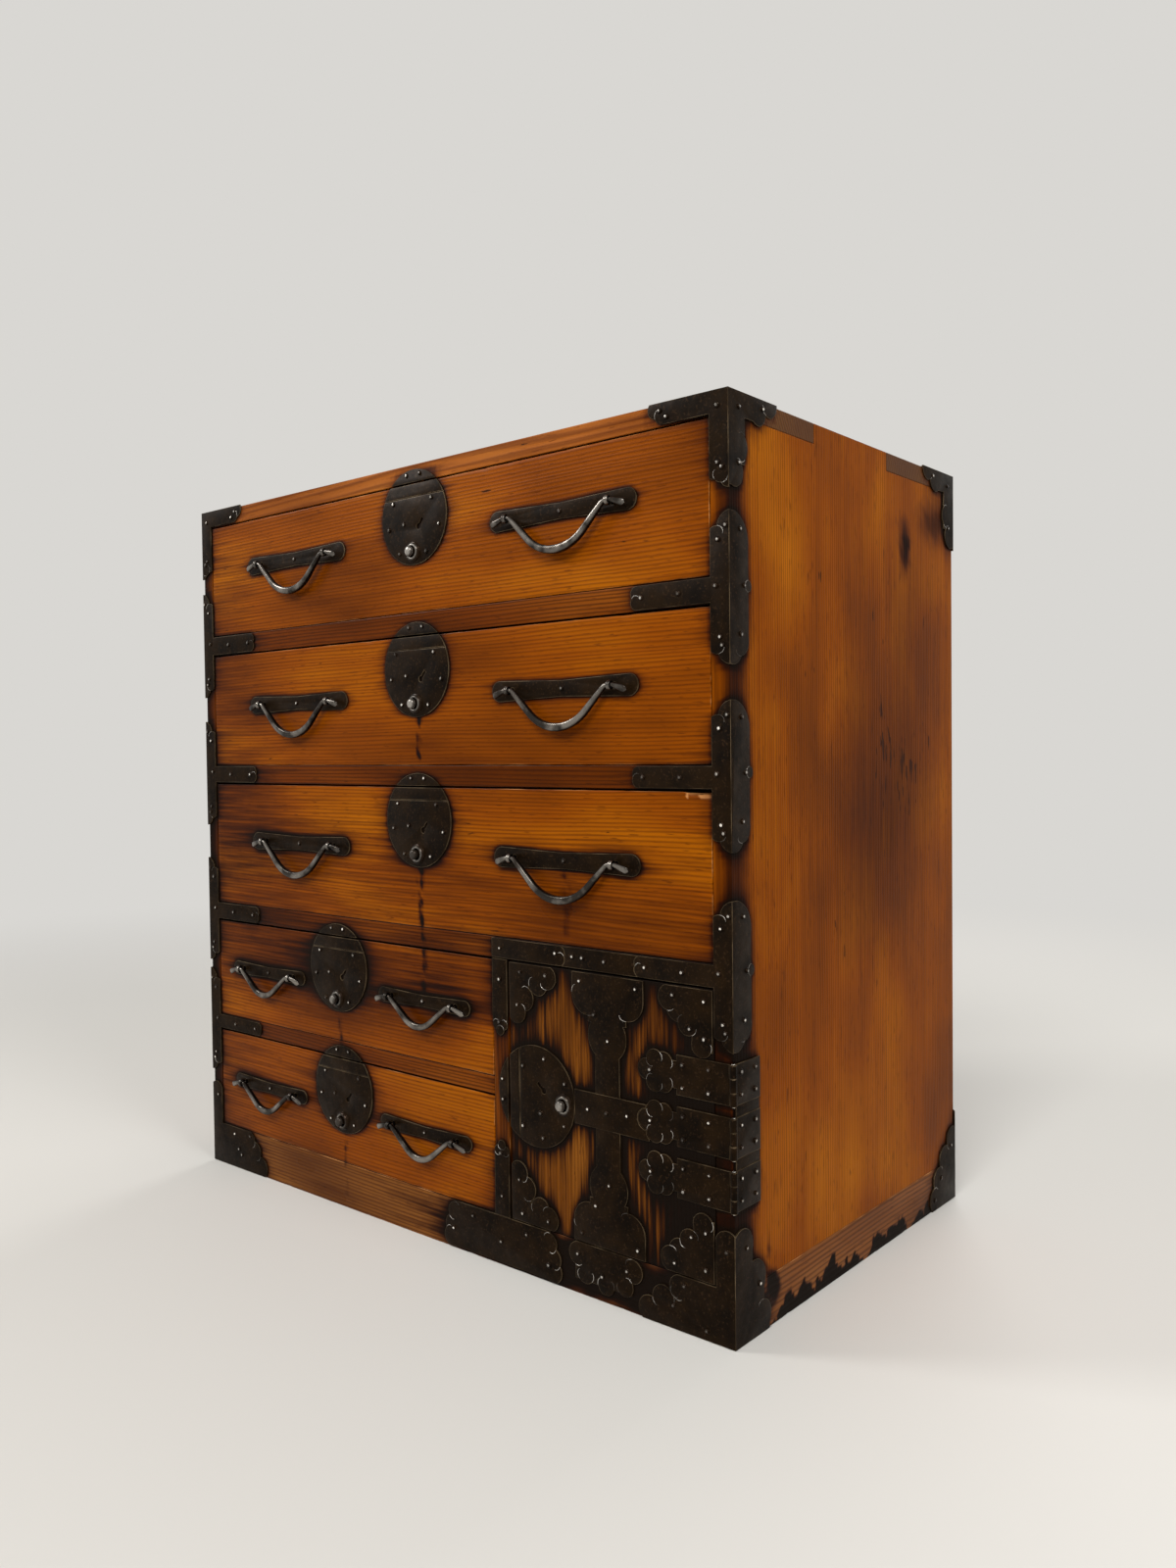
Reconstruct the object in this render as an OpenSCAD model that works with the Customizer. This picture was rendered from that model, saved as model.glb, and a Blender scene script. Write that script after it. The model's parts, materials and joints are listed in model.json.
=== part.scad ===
// Tansu chest: a clothing chest of five drawers and one small locked door, with iron fittings.
// Millimetres. X runs to the right, the front faces -Y, Z is up, and the chest stands on Z = 0.

/* [Case] */
// Overall width, over the iron
case_w = 770; // [740:1:800]
// Overall depth, over the iron and without the handles
case_d = 446; // [420:1:500]
// Thickness of the side boards
side_t = 18; // [16:0.5:20]
// Thickness of the top board
top_t = 18.5; // [16:0.5:22]
// Thickness of the bottom board
bottom_t = 18; // [12:1:24]
// Thickness of the back planks
back_t = 8; // [6:0.5:12]
// Number of back planks
back_planks = 6; // [4:1:8]
// Thickness of the boards that the drawers run on
dust_t = 8; // [6:0.5:10]
// Thickness of the upright board beside the door compartment
partition_t = 14; // [10:1:18]
// Thickness of the shelf behind the door
shelf_t = 10; // [8:1:14]
// Depth of the front rails, front to back
rail_deep = 30; // [28:1:40]

/* [Front layout] */
// Height of the front base rail
base_h = 49.5; // [46:0.5:60]
// Height of the side base rails
side_base_h = 45; // [36:1:46]
// Height of the first opening, the top one
open1_h = 132.5; // [128:0.5:150]
// Height of the second opening
open2_h = 134; // [130:0.5:150]
// Height of the third opening
open3_h = 146; // [134:0.5:160]
// Height of the fourth opening
open4_h = 117; // [112:0.5:130]
// Height of the fifth opening, the lowest one
open5_h = 118; // [112:0.5:130]
// Height of the rail under the first opening
rail1_h = 23; // [18:0.5:30]
// Height of the rail under the second opening
rail2_h = 21; // [18:0.5:30]
// Height of the rail under the third opening
rail3_h = 21; // [18:0.5:30]
// Height of the rail under the fourth opening
rail4_h = 18; // [18:0.5:24]
// Width of the two small openings
small_w = 470.5; // [440:0.5:480]
// Width of the post beside the door
post_w = 20; // [18:0.5:26]

/* [Drawers] */
// Thickness of a drawer front
front_t = 20; // [18:0.5:24]
// Thickness of a drawer's sides and back
box_t = 10; // [8:0.5:14]
// Thickness of a drawer's bottom
floor_t = 7; // [5:0.5:10]
// Depth of the lap where a drawer's sides and bottom enter its front
lap = 10; // [6:0.5:12]
// Gap over a drawer
gap_top = 1.6; // [1:0.1:2.4]
// Gap at each side of a drawer
gap_side = 0.8; // [0.5:0.1:1.5]
// Gap under a drawer
gap_under = 0.4; // [0.3:0.1:0.8]
// Length of a drawer stop, front to back
stop_l = 8; // [6:1:20]

/* [Door] */
// Thickness of the door
door_t = 20; // [18:0.5:24]
// Gap at the door's lock side
gap_lock = 2.5; // [1.5:0.1:3]
// Gap at the door's hinge side
gap_hinge = 0.7; // [0.5:0.1:1.5]
// Gap over the door
gap_over = 1; // [0.8:0.1:2]

/* [Iron] */
// Thickness of the iron sheet
iron_t = 1.5; // [1:0.1:1.8]
// Radius of a nail head
nail_r = 2.6; // [2:0.1:3]
// Height of a nail head
nail_h = 1.3; // [0.8:0.1:1.6]
// Reach of the corner straps along a rail, from the side of the chest
strap_l = 97; // [80:1:110]

/* [Locks] */
// Radius of the round lock plates
plate_r = 48.7; // [47.8:0.1:50]
// From a drawer's top edge down to the middle of its lock plate
lock_drop = 34; // [32:0.5:36]
// Width of the lock bolt
bolt_w = 26; // [18:1:28]
// Thickness of the lock bolt
bolt_t = 5.3; // [4:0.1:5.3]
// Travel of the lock bolt
bolt_throw = 7; // [5:0.5:8]
// Radius of the push knob
knob_r = 5.4; // [4:0.1:6]
// How far the push knob stands out of the wood
knob_out = 10; // [9:0.5:12]
// Travel of the push knob
knob_travel = 4; // [2:0.5:4]

/* [Handles] */
// Half the distance between the eyes of a large handle
large_grip = 62.5; // [50:0.5:75]
// Half the distance between the eyes of a small handle
small_grip = 48.5; // [40:0.5:56]
// Drop of a large bail below its eyes
large_drop = 36; // [32:0.5:46]
// Drop of a small bail below its eyes
small_drop = 25.5; // [20:0.5:32]
// Radius of a bail at its eyes
peg_r = 2.3; // [2:0.1:2.6]
// Radius of a bail at its middle
rod_r = 3.6; // [2.8:0.1:4.2]
// From the face of the wood out to the middle of an eye
eye_out = 8.5; // [8:0.5:12]
// Length of the bail's end beyond the eye
tail_l = 15; // [8:1:20]

/* [Hinges] */
// Height of a hinge
hinge_h = 35; // [30:1:40]
// Distance between hinges
hinge_pitch = 45; // [42:1:50]
// Radius of a hinge pin
pin_r = 1.6; // [1.2:0.1:1.8]
// Radius of a hinge knuckle
barrel_r = 3; // [2.6:0.1:3.4]
// Length of a hinge leaf on the side of the chest
leaf_l = 41; // [34:1:50]

/* [Hidden] */
$fn = 64;
LARGE_DRAWERS = [1, 2, 3];
DRAWERS = [1, 2, 3, 4, 5];
DRAWER_PARTS = ["front", "box", "ironwork", "bolt", "knob", "bail_left", "bail_right"];
CASE_NODES = [
  "side_board_left", "side_board_right", "top_board", "bottom_board", "base_rails", "back_boards",
  "front_rails", "door_post", "partition", "dust_boards", "safe_shelf", "stops",
  "corner_irons", "foot_irons", "edge_irons", "lock_keepers", "case_hinge_leaves", "hinge_pins",
  "case_nails"
];
DOOR_NODES = ["door_board", "door_irons", "door_hinge_leaves", "door_lock", "door_bolt", "door_knob"];

// Clearances: a fitted stem in its hole, a piece that runs, a pin in its knuckle
fit = 0.1;
run = 0.3;
pin_gap = 0.1;
// Depth of the grooves in the side boards
dado = 5;
// Inset of a drawer box behind the ends of its front
box_inset = 0.4;
// Lower edges of a drawer's sides and back behind its front's top edge
side_low = 3;
back_low = 10;
// Small margin that keeps an iron plate inside the edge that it covers
margin = 0.2;
// Reach of a cut past a face, so that it cuts cleanly
over = 1;

// Wood colours and iron
case_colour = [0.55, 0.27, 0.08];
front_colour = [0.66, 0.34, 0.09];
bare_colour = [0.72, 0.56, 0.36];
iron_colour = [0.12, 0.10, 0.09];
nail_colour = [0.22, 0.19, 0.17];

// Planes of the wooden case
wood_half = case_w / 2 - iron_t;
wood_front = -case_d / 2 + iron_t;
wood_back = case_d / 2 - iron_t;
inner_half = wood_half - side_t;
back_face = wood_back - back_t;
rail_back = wood_front + rail_deep;
rear_rail_t = 20;
stile = side_t + iron_t - margin;

// Heights of the openings, bottom up, and of what is over them
open5_z = base_h;
open4_z = open5_z + open5_h + rail4_h;
open3_z = open4_z + open4_h + rail3_h;
open2_z = open3_z + open3_h + rail2_h;
open1_z = open2_z + open2_h + rail1_h;
top_z = open1_z + open1_h;
wood_top = top_z + top_t;
iron_top = wood_top + iron_t;
open_z = [0, open1_z, open2_z, open3_z, open4_z, open5_z];
open_h = [0, open1_h, open2_h, open3_h, open4_h, open5_h];
rail_h = [0, rail1_h, rail2_h, rail3_h, rail4_h];
rail_z = [for (n = [0 : 4]) open_z[n] - rail_h[n]];

// Upright lines of the front
small_right = -inner_half + small_w;
post_right = small_right + post_w;
door_left = post_right + gap_lock;
door_right = inner_half - gap_hinge;
door_low = open5_z + gap_under;
door_top = rail_z[3] - gap_over;
door_mid = (door_low + door_top) / 2;
door_back = wood_front + door_t;
partition_left = small_right + (post_w - partition_t) / 2;
partition_right = partition_left + partition_t;

// The top joint: the side board's finger between the top board's two
finger_start = 143;
finger_l = 144;
finger_from = -case_d / 2 + finger_start;
finger_to = finger_from + finger_l;

// Drawers: width of the opening, its middle, and the drawer in it
function is_large(n) = n <= 3;
function open_w(n) = is_large(n) ? 2 * inner_half : small_w;
function drawer_x(n) = is_large(n) ? 0 : (small_right - inner_half) / 2;
function drawer_w(n) = open_w(n) - 2 * gap_side;
function drawer_z(n) = open_z[n] + gap_under;
function drawer_top(n) = open_z[n] + open_h[n] - gap_top;
drawer_back = back_face - stop_l - run;

// Handles: side step from the drawer's middle, and drop below the drawer's top edge
large_step = 200;
small_step = 134;
handle_drops = [0, 54.5, 61.5, 66, 54, 56];
lock_shift = [0, 1.5, 1.5, 1.5, -4, 2];
function handle_x(n, side) = drawer_x(n) + side * (is_large(n) ? large_step : small_step);
function handle_z(n) = drawer_top(n) - handle_drops[n];
function grip(n) = is_large(n) ? large_grip : small_grip;
function drop(n) = is_large(n) ? large_drop : small_drop;
function lean(n) = is_large(n) ? 44 : 38;
bend_r = 5;
// A straight stretch of a bail enters its bends by a bite, and a bend is this much thicker
bite = 0.8;
swell = 0.2;

// Handle plates: reach beyond the eye, radius of the round end, half the height in the middle
function plate_reach(n) = is_large(n) ? 27 : 21;
function plate_end_r(n) = is_large(n) ? 10 : 8;
function plate_waist(n) = is_large(n) ? 7.5 : 6;
eye_r = 4.6;
eye_l = 4.5;
eye_play = 1;
stem_r = 2.8;
clinch_r = 5;
clinch_t = 1.5;
tail_slope = 18;

// Locks: half width, foot and head of the mortise, its depth, and what sits in it
mortise_half = 21;
mortise_low = -42.5;
mortise_high = 20;
mortise_deep = 9;
lock_wall = 1.2;
bolt_low = -18;
bolt_back = -mortise_deep + lock_wall + run;
bolt_end_gap = 1;
guide_half = 10;
guide_w = 2;
keeper_play = 0.5;
knob_at = [-2, -35];
knob_dome = 3;
flange_r = 6.4;
flange_t = 1.2;
collar_r = 10;
// The bolt's tail lies under the knob and leaves it room to sink by its travel
bolt_tail_w = 10;
bolt_tail_t = -bolt_back - 2 * run - flange_t - knob_travel;
collar_top_r = 8;
collar_h = 2.2;
key_at = [7, -10];
key_r = 3;
key_slot_l = 10;
key_slot_w = 3;
key_lean = 50;
scribe_v = 20.5;
scribe_w = 0.6;
scribe_deep = 0.5;
lock_nails = [[-31, 17], [27, 16.5], [-38, -9], [37.5, -11], [-22, -35.5], [18, -36.5], [-15, -6]];
keeper_nails = [[-10, 43.5], [10, 43.5]];

// Hinges at the front right corner
hinge_out = 0.7;
hinge_up = 3;
hinge_x = wood_half + hinge_out;
hinge_y = wood_front - hinge_out;
hinge_mid = door_mid + hinge_up;
hinge_zs = [for (k = [-1, 0, 1]) hinge_mid + k * hinge_pitch - hinge_h / 2];
knuckle_gap = 0.3;
knuckle_h = hinge_h / 3;
groove_r = barrel_r + 0.4;
pin_over = 0.8;
backing_t = 1;

// A plate is [blocks, lobes, clip, nails]: blocks and clip are [x0, y0, x1, y1], lobes are [x, y, r]
strap_inset = 1;
strap_h = top_t + iron_t - strap_inset;
corner_front = [
  [[0, -strap_h, 68, 0], [0, -66, stile, 0]],
  [[74, -5, 8.5], [67, -11, 8], [14.5, -64.5, 9], [7, -68.5, 8.5], [0, -73, 8.5]],
  [[0, -strap_h, 90, 0], [0, -90, stile, 0]],
  [[70, -7], [63, -13], [11, -13], [11, -60], [7, -64]]
];
corner_side = [
  [[0, -21, 40, 0], [0, -12, 66, 0], [0, -60, 25, 0], [0, -79, 9, 0]],
  [[64, -1, 12.5], [46, -11, 12.5], [16, -46, 13], [9, -67, 13]],
  [[0, -82, 90, 0]],
  [[16, -13], [53, -8], [15, -59]]
];
corner_top = [
  [[0, 0, 60, 17], [0, 0, 17, 60], [0, 0, 28, 28]],
  [[62, 7, 11], [7, 62, 11], [42, 13, 11], [13, 42, 11], [26, 26, 9]],
  [[0, 0, 80, 80]],
  [[12, 12], [60, 8], [8, 60], [26, 26]]
];
edge_front = [
  [[0, -44, stile, 44]],
  [[-1.5, 50.5, 14], [-1.5, -48.5, 14], [13.5, 43, 9.5], [13, -44, 9.5]],
  [[0, -62.5, stile, 64.5]],
  [[3.5, 52], [11.4, 41], [14, 3], [9.8, -39.5], [7.6, -46.5]]
];
edge_side = [
  [[0, -42, 28.5, 42]],
  [[3, 39, 26], [16, -42, 13], [5, -48.5, 14], [28.5, 4, 5]],
  [[0, -62.5, 40, 64.5]],
  [[16.5, 50.5], [22, 4], [17, -37]]
];
foot_low = 0.5;
foot_front = [
  [[0, 0, 76, 60], [0, 0, 88, 28], [0, 0, 98, 14], [0, 0, stile, 88]],
  [[75, 38, 11.5], [86, 27, 12], [98, 10, 12.5], [8, 88, 12]],
  [[0, foot_low, 115, base_h - margin], [0, foot_low, stile, 101]],
  [[46, 41], [54, 24], [78, 44], [12, 84], [60, 18]]
];
// The right foot's plate is shorter than the left one's
foot_right = [
  [[0, 0, 58, 60], [0, 0, 76, 28], [0, 0, 90, 14], [0, 0, stile, 88]],
  [[57, 38, 11.5], [75, 24, 12], [90, 10, 12.5], [8, 88, 12]],
  [[0, foot_low, 115, base_h - margin], [0, foot_low, stile, 101]],
  [[52, 41], [64, 21], [29, 9], [8, 82]]
];
foot_side = [
  [[0, 0, 27, 84], [0, 0, 45, 50], [0, 0, 54, 16]],
  [[12, 84, 16], [30, 50, 18], [42, 15, 14.5]],
  [[0, foot_low, 60, 101]],
  [[18, 82], [38, 45]]
];
foot_back_side = [
  [[0, 0, 16, 68], [0, 0, 36, 50], [0, 0, 50, 30], [0, 0, 60, 12]],
  [[8, 68, 14], [26, 50, 15], [42, 31, 14], [52, 12, 13]],
  [[0, foot_low, 70, 84]],
  [[12, 62], [38, 32], [54, 12]]
];
strap_end_r = 6.5;
function strap_half(h) = h / 2 - strap_inset;
function strap_ends(h) = [for (k = [-1, 1]) k * (strap_half(h) - strap_end_r)];
function strap(h) = [
  [[stile - over, -strap_half(h), strap_l, strap_half(h)]],
  [for (v = strap_ends(h)) [strap_l, v, strap_end_r]],
  [[stile - over, -strap_half(h), strap_l + strap_end_r, strap_half(h)]],
  [[52, 0], [strap_l - 5, 0]]
];
// Plates on the base rail, from the left edge of the chest
base_plate_a = [
  [[431, 3, 562, 60]],
  [[433, 38, 10], [430, 24, 11], [428, 12, 11], [560.5, 38, 10], [564.5, 24, 11], [565.5, 12, 11]],
  [[410, 2, 580, base_h - margin]],
  [[431, 21], [459, 40], [498, 24], [532, 39], [560, 17]]
];
base_plate_b = [
  [[594, 15, 660, 60]],
  [[597, 38, 11], [606, 22, 10], [661, 38, 11], [652, 22, 9.5], [630, 17, 9.5]],
  [[582, 8, 672, base_h - margin]],
  [[597, 38], [626, 24], [655, 37]]
];
// Plate at an end of the post, about its middle line and out from the rail that it meets
post_half = post_w / 2 - margin;
post_plate = [
  [[-post_half, margin, post_half, 62.5]],
  [[-4.5, 64.5, 5.2], [4.5, 64.5, 5.2], [0, 70, 5]],
  [[-post_half, margin, post_half, 80]],
  [[-1, 62], [0, 20]]
];
// Straps on the rail over the door, from its left end, about the rail's middle
head_joint = 88;
head_a_nails = [[11, 0], [83, 2]];
head_b_nails = [[104, 1], [116, 1], [142, 0]];
// Door plates: the corners at the lock side and at the hinge side, from the door's edges
door_w = door_right - door_left;
corner_reach = door_top - hinge_zs[2] - hinge_h - run;
corner_clip = [[0.8, 0.8, 70, corner_reach]];
lock_corner = [
  [[0, 0, 52, 12], [0, 0, 42, 21], [0, 0, 26, 38], [0, 0, 14, 50]],
  [[49, 11, 11.5], [38, 18, 11.5], [20, 34, 12], [10, 47.5, 11.5]],
  corner_clip,
  [[15, 9], [48, 9], [11, 41]]
];
hinge_corner = [
  [[0, 0, 47, 15], [0, 0, 36, 25], [0, 0, 22, 54]],
  [[46, 11.5, 11.5], [36, 20, 12], [26, 32, 10.5], [12, 49, 10.5]],
  corner_clip,
  [[9, 11], [42, 9], [24, 36], [9, 43]]
];
// Hinge straps on the door: a lobed head, as far from the door's edge as the lock leaves room for
lock_reach = lock_drop + plate_r;
head_from_edge = 0.46 * (door_w - lock_reach);
head_x = case_w / 2 + door_right - head_from_edge;
head_lobe_r = 9.5;
head_lobes = [
  [0, 0, head_lobe_r],
  for (k = [-1, 1]) [9, 10 * k, 9],
  for (k = [-1, 1]) [19, 8.5 * k, 9.5]
];
head_blocks = [
  [4, -12, 0.53 * head_from_edge, 12],
  [0.46 * head_from_edge, -hinge_h / 2, head_from_edge, hinge_h / 2]
];
strap_nails = [
  [4, 0],
  for (part = [0.55, 0.93]) [part * head_from_edge, 9.5],
  for (part = [0.55, 0.93]) [part * head_from_edge, -10.5]
];
// Half the door's middle plate from its top edge, as wide as the room between lock and straps allows
between = door_w - lock_reach - head_from_edge - head_lobe_r;
middle_x = case_w / 2 + door_left + lock_reach + 0.53 * between;
foot_half = 0.56 * between;
shoulder_half = 0.3 * between;
stem_half = 0.19 * between;
foot_lobe_r = 18.5;
middle_plate = [
  [[-foot_half, 0.8, foot_half, 20], [-shoulder_half, 15, shoulder_half, 45],
   [-stem_half, 40, stem_half, 112]],
  [[foot_lobe_r - foot_half, 21, foot_lobe_r], [foot_half - foot_lobe_r, 21, foot_lobe_r],
   [0, 57, shoulder_half]],
  [[-foot_half, 0.8, foot_half, (door_top - door_low) / 2 - stem_half]],
  [[-0.77 * foot_half, 9], [0.8 * foot_half, 9], [-0.36 * foot_half, 38], [1, 60]]
];
bar_half = 16;
bar_t = 2.2;
bar_lap = 3;
bar_nails = [[-0.31 * between, 0], [-1, 0], [0.31 * between, 2]];
leaf_nails = [[11, 10], [33, 10], [11, -9], [33, -9]];

// Places: a plate is drawn as it is seen, with Z out of the surface
module at_front() {
  translate([-case_w / 2, wood_front, 0]) rotate([90, 0, 0]) children();
}
module at_right_front() {
  mirror([1, 0, 0]) at_front() children();
}
module at_right_side() {
  translate([wood_half, -case_d / 2, 0]) rotate([90, 0, 90]) children();
}
module at_right_top() {
  translate([case_w / 2, -case_d / 2, wood_top]) mirror([1, 0, 0]) children();
}
module left_too() {
  children();
  mirror([1, 0, 0]) children();
}
module back_too() {
  children();
  mirror([0, 1, 0]) children();
}
module on_back() {
  mirror([0, 1, 0]) children();
}
module at_lock(n) {
  translate([drawer_x(n) + lock_shift[n], wood_front, drawer_top(n) - lock_drop])
    rotate([90, 0, 0]) children();
}
module at_door_lock() {
  translate([door_left + lock_drop, wood_front, door_mid])
    rotate([90, 0, 0]) rotate([0, 0, 90]) children();
}
module at_handle(n, side) {
  translate([handle_x(n, side), wood_front, handle_z(n)]) rotate([90, 0, 0]) children();
}

// Sheet iron and nails
module blocks_2d(blocks) {
  for (b = blocks) translate([b[0], b[1]]) square([b[2] - b[0], b[3] - b[1]]);
}
module lobes_2d(lobes, grow = 0) {
  for (c = lobes) translate([c[0], c[1]]) circle(r = c[2] + grow);
}
module plate_2d(p) {
  intersection() {
    union() {
      blocks_2d(p[0]);
      lobes_2d(p[1]);
    }
    blocks_2d(p[2]);
  }
}
module nail_head() {
  ball_r = (nail_r * nail_r + nail_h * nail_h) / (2 * nail_h);
  intersection() {
    translate([0, 0, nail_h - ball_r]) sphere(r = ball_r);
    translate([-nail_r, -nail_r, 0]) cube([2 * nail_r, 2 * nail_r, nail_h + over]);
  }
}
module nails(places, height = iron_t) {
  for (p = places) translate([p[0], p[1], height]) nail_head();
}
// One fitting, as its plate or as the heads of its nails
module fitting(p, part) {
  if (part == "plate") linear_extrude(iron_t) plate_2d(p);
  if (part == "nails") nails(p[3]);
}

// Wood of the case
module board(x0, x1, y0, y1, z0, z1) {
  translate([x0, y0, z0]) cube([x1 - x0, y1 - y0, z1 - z0]);
}
module dust_grooves() {
  for (n = LARGE_DRAWERS)
    board(inner_half - over, inner_half + dado, rail_back, back_face, open_z[n] - dust_t, open_z[n]);
}
module side_board() {
  difference() {
    union() {
      board(inner_half, wood_half, wood_front, wood_back, side_base_h, top_z);
      board(inner_half, wood_half, finger_from, finger_to, top_z, wood_top);
    }
    dust_grooves();
  }
}
module hinge_groove() {
  low = hinge_zs[0] - pin_over - over;
  high = hinge_zs[2] + hinge_h + pin_over + over;
  translate([hinge_x, hinge_y, low]) cylinder(r = groove_r, h = high - low);
}
module side_board_right() {
  color(case_colour) difference() {
    side_board();
    hinge_groove();
  }
}
module side_board_left() {
  color(case_colour) difference() {
    mirror([1, 0, 0]) side_board();
    board(-inner_half - dado, -inner_half + over, rail_back, back_face, open_z[4] - dust_t, open_z[4]);
  }
}
module keeper_mortise() {
  w = bolt_w + 2 * keeper_play;
  high = lock_drop - bolt_end_gap + bolt_throw + over;
  translate([-w / 2, lock_drop, bolt_back - keeper_play])
    cube([w, high - lock_drop, bolt_t + 2 * keeper_play]);
}
module top_board() {
  color(case_colour) difference() {
    board(-wood_half, wood_half, wood_front, wood_back, top_z, wood_top);
    left_too() board(inner_half, wood_half + over, finger_from, finger_to, top_z - over, wood_top + over);
    at_lock(1) keeper_mortise();
  }
}
module bottom_board() {
  color(bare_colour)
    board(-inner_half, inner_half, rail_back, wood_back - rear_rail_t, base_h - bottom_t, base_h);
}
module base_rails() {
  color(case_colour) {
    board(-inner_half, inner_half, wood_front, rail_back, 0, base_h);
    board(-inner_half, inner_half, wood_back - rear_rail_t, wood_back, 0, base_h);
    left_too() board(inner_half, wood_half, wood_front, wood_back, 0, side_base_h);
  }
}
module back_boards() {
  pitch = (top_z - base_h) / back_planks;
  color(bare_colour) for (k = [0 : back_planks - 1])
    board(-inner_half, inner_half, back_face, wood_back, base_h + k * pitch, base_h + (k + 1) * pitch - fit);
}
module front_rails() {
  color(case_colour) {
    for (n = LARGE_DRAWERS) difference() {
      board(-inner_half, inner_half, wood_front, rail_back, rail_z[n], open_z[n]);
      at_lock(n + 1) keeper_mortise();
    }
    difference() {
      board(-inner_half, small_right, wood_front, rail_back, rail_z[4], open_z[4]);
      at_lock(5) keeper_mortise();
    }
  }
}
module door_post() {
  color(case_colour) difference() {
    board(small_right, post_right, wood_front, rail_back, base_h, rail_z[3]);
    at_door_lock() keeper_mortise();
  }
}
module partition() {
  color(bare_colour)
    board(partition_left, partition_right, rail_back, back_face, base_h, open_z[3] - dust_t);
}
module dust_boards() {
  color(bare_colour) {
    for (n = LARGE_DRAWERS)
      board(-inner_half - dado, inner_half + dado, rail_back, back_face, open_z[n] - dust_t, open_z[n]);
    board(-inner_half - dado, partition_left, rail_back, back_face, open_z[4] - dust_t, open_z[4]);
  }
}
shelf_inset = 12;
shelf_front = door_back + shelf_inset;
shelf_z = door_mid - shelf_t / 2;
cleat_h = 14;
cleat_w = 12;
module safe_shelf() {
  color(bare_colour) {
    board(partition_right, inner_half, shelf_front, back_face, shelf_z, shelf_z + shelf_t);
    board(partition_right, partition_right + cleat_w, shelf_front, back_face, shelf_z - cleat_h, shelf_z);
    board(inner_half - cleat_w, inner_half, shelf_front, back_face, shelf_z - cleat_h, shelf_z);
  }
}
stop_w = 24;
stop_h = 14;
door_stop = 8;
module stops() {
  color(bare_colour) {
    for (n = DRAWERS, side = [-1, 1])
      translate([handle_x(n, side) - stop_w / 2, back_face - stop_l, open_z[n]])
        cube([stop_w, stop_l, stop_h]);
    board(post_right, post_right + door_stop, door_back + run, rail_back, base_h, rail_z[3]);
  }
}

// Iron of the case
module corner_irons(part = "plate") {
  color(iron_colour) left_too() back_too() {
    at_right_front() translate([0, iron_top]) fitting(corner_front, part);
    at_right_side() translate([0, iron_top]) fitting(corner_side, part);
    at_right_top() fitting(corner_top, part);
  }
}
module base_plates(part) {
  at_front() {
    fitting(base_plate_a, part);
    fitting(base_plate_b, part);
  }
}
module foot_irons(part = "plate") {
  color(iron_colour) {
    at_front() fitting(foot_front, part);
    at_right_front() fitting(foot_right, part);
    left_too() {
      at_right_side() fitting(foot_side, part);
      on_back() at_right_front() fitting(foot_front, part);
      on_back() at_right_side() fitting(foot_back_side, part);
    }
    base_plates(part);
  }
}
module edge_iron(n, part) {
  middle = rail_z[n] + rail_h[n] / 2;
  at_right_front() translate([0, middle]) {
    fitting(edge_front, part);
    fitting(strap(rail_h[n]), part);
  }
  at_right_side() translate([0, middle]) fitting(edge_side, part);
}
module head_strap_a() {
  half = strap_half(rail3_h);
  blocks_2d([[0, -half, head_joint, half]]);
  lobes_2d([for (v = strap_ends(rail3_h)) [head_joint, v, strap_end_r]]);
}
module head_strap_b() {
  half = strap_half(rail3_h);
  end = case_w / 2 - small_right - strap_l;
  difference() {
    blocks_2d([[head_joint + fit, -half, end, half]]);
    for (x = [head_joint, end], v = strap_ends(rail3_h)) lobes_2d([[x, v, strap_end_r + run]]);
  }
}
module door_surround(part) {
  at_front() {
    translate([case_w / 2 + small_right, rail_z[3] + rail3_h / 2]) {
      if (part == "plate") linear_extrude(iron_t) head_strap_a();
      if (part == "plate") linear_extrude(iron_t) head_strap_b();
      if (part == "nails") nails(concat(head_a_nails, head_b_nails));
    }
    translate([case_w / 2 + small_right + post_w / 2, 0]) {
      translate([0, base_h]) fitting(post_plate, part);
      translate([0, rail_z[3]]) mirror([0, 1, 0]) fitting(post_plate, part);
    }
  }
}
module edge_irons(part = "plate") {
  color(iron_colour) {
    for (n = LARGE_DRAWERS) left_too() edge_iron(n, part);
    mirror([1, 0, 0]) edge_iron(4, part);
    door_surround(part);
  }
}
module keeper_2d(gap) {
  intersection() {
    circle(r = plate_r);
    translate([-plate_r, lock_drop + gap + margin]) square([2 * plate_r, plate_r]);
  }
}
module lock_keepers(part = "plate") {
  color(iron_colour) {
    for (n = DRAWERS) at_lock(n) {
      if (part == "plate") linear_extrude(iron_t) keeper_2d(gap_top);
      if (part == "nails") nails(keeper_nails);
    }
    at_door_lock() {
      if (part == "plate") linear_extrude(iron_t) keeper_2d(gap_lock);
      if (part == "nails") nails(keeper_nails);
    }
  }
}
module case_nails() {
  color(nail_colour) {
    corner_irons("nails");
    foot_irons("nails");
    edge_irons("nails");
    lock_keepers("nails");
    for (z = hinge_zs) at_right_side() translate([0, z + hinge_h / 2]) nails(leaf_nails);
  }
}

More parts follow.
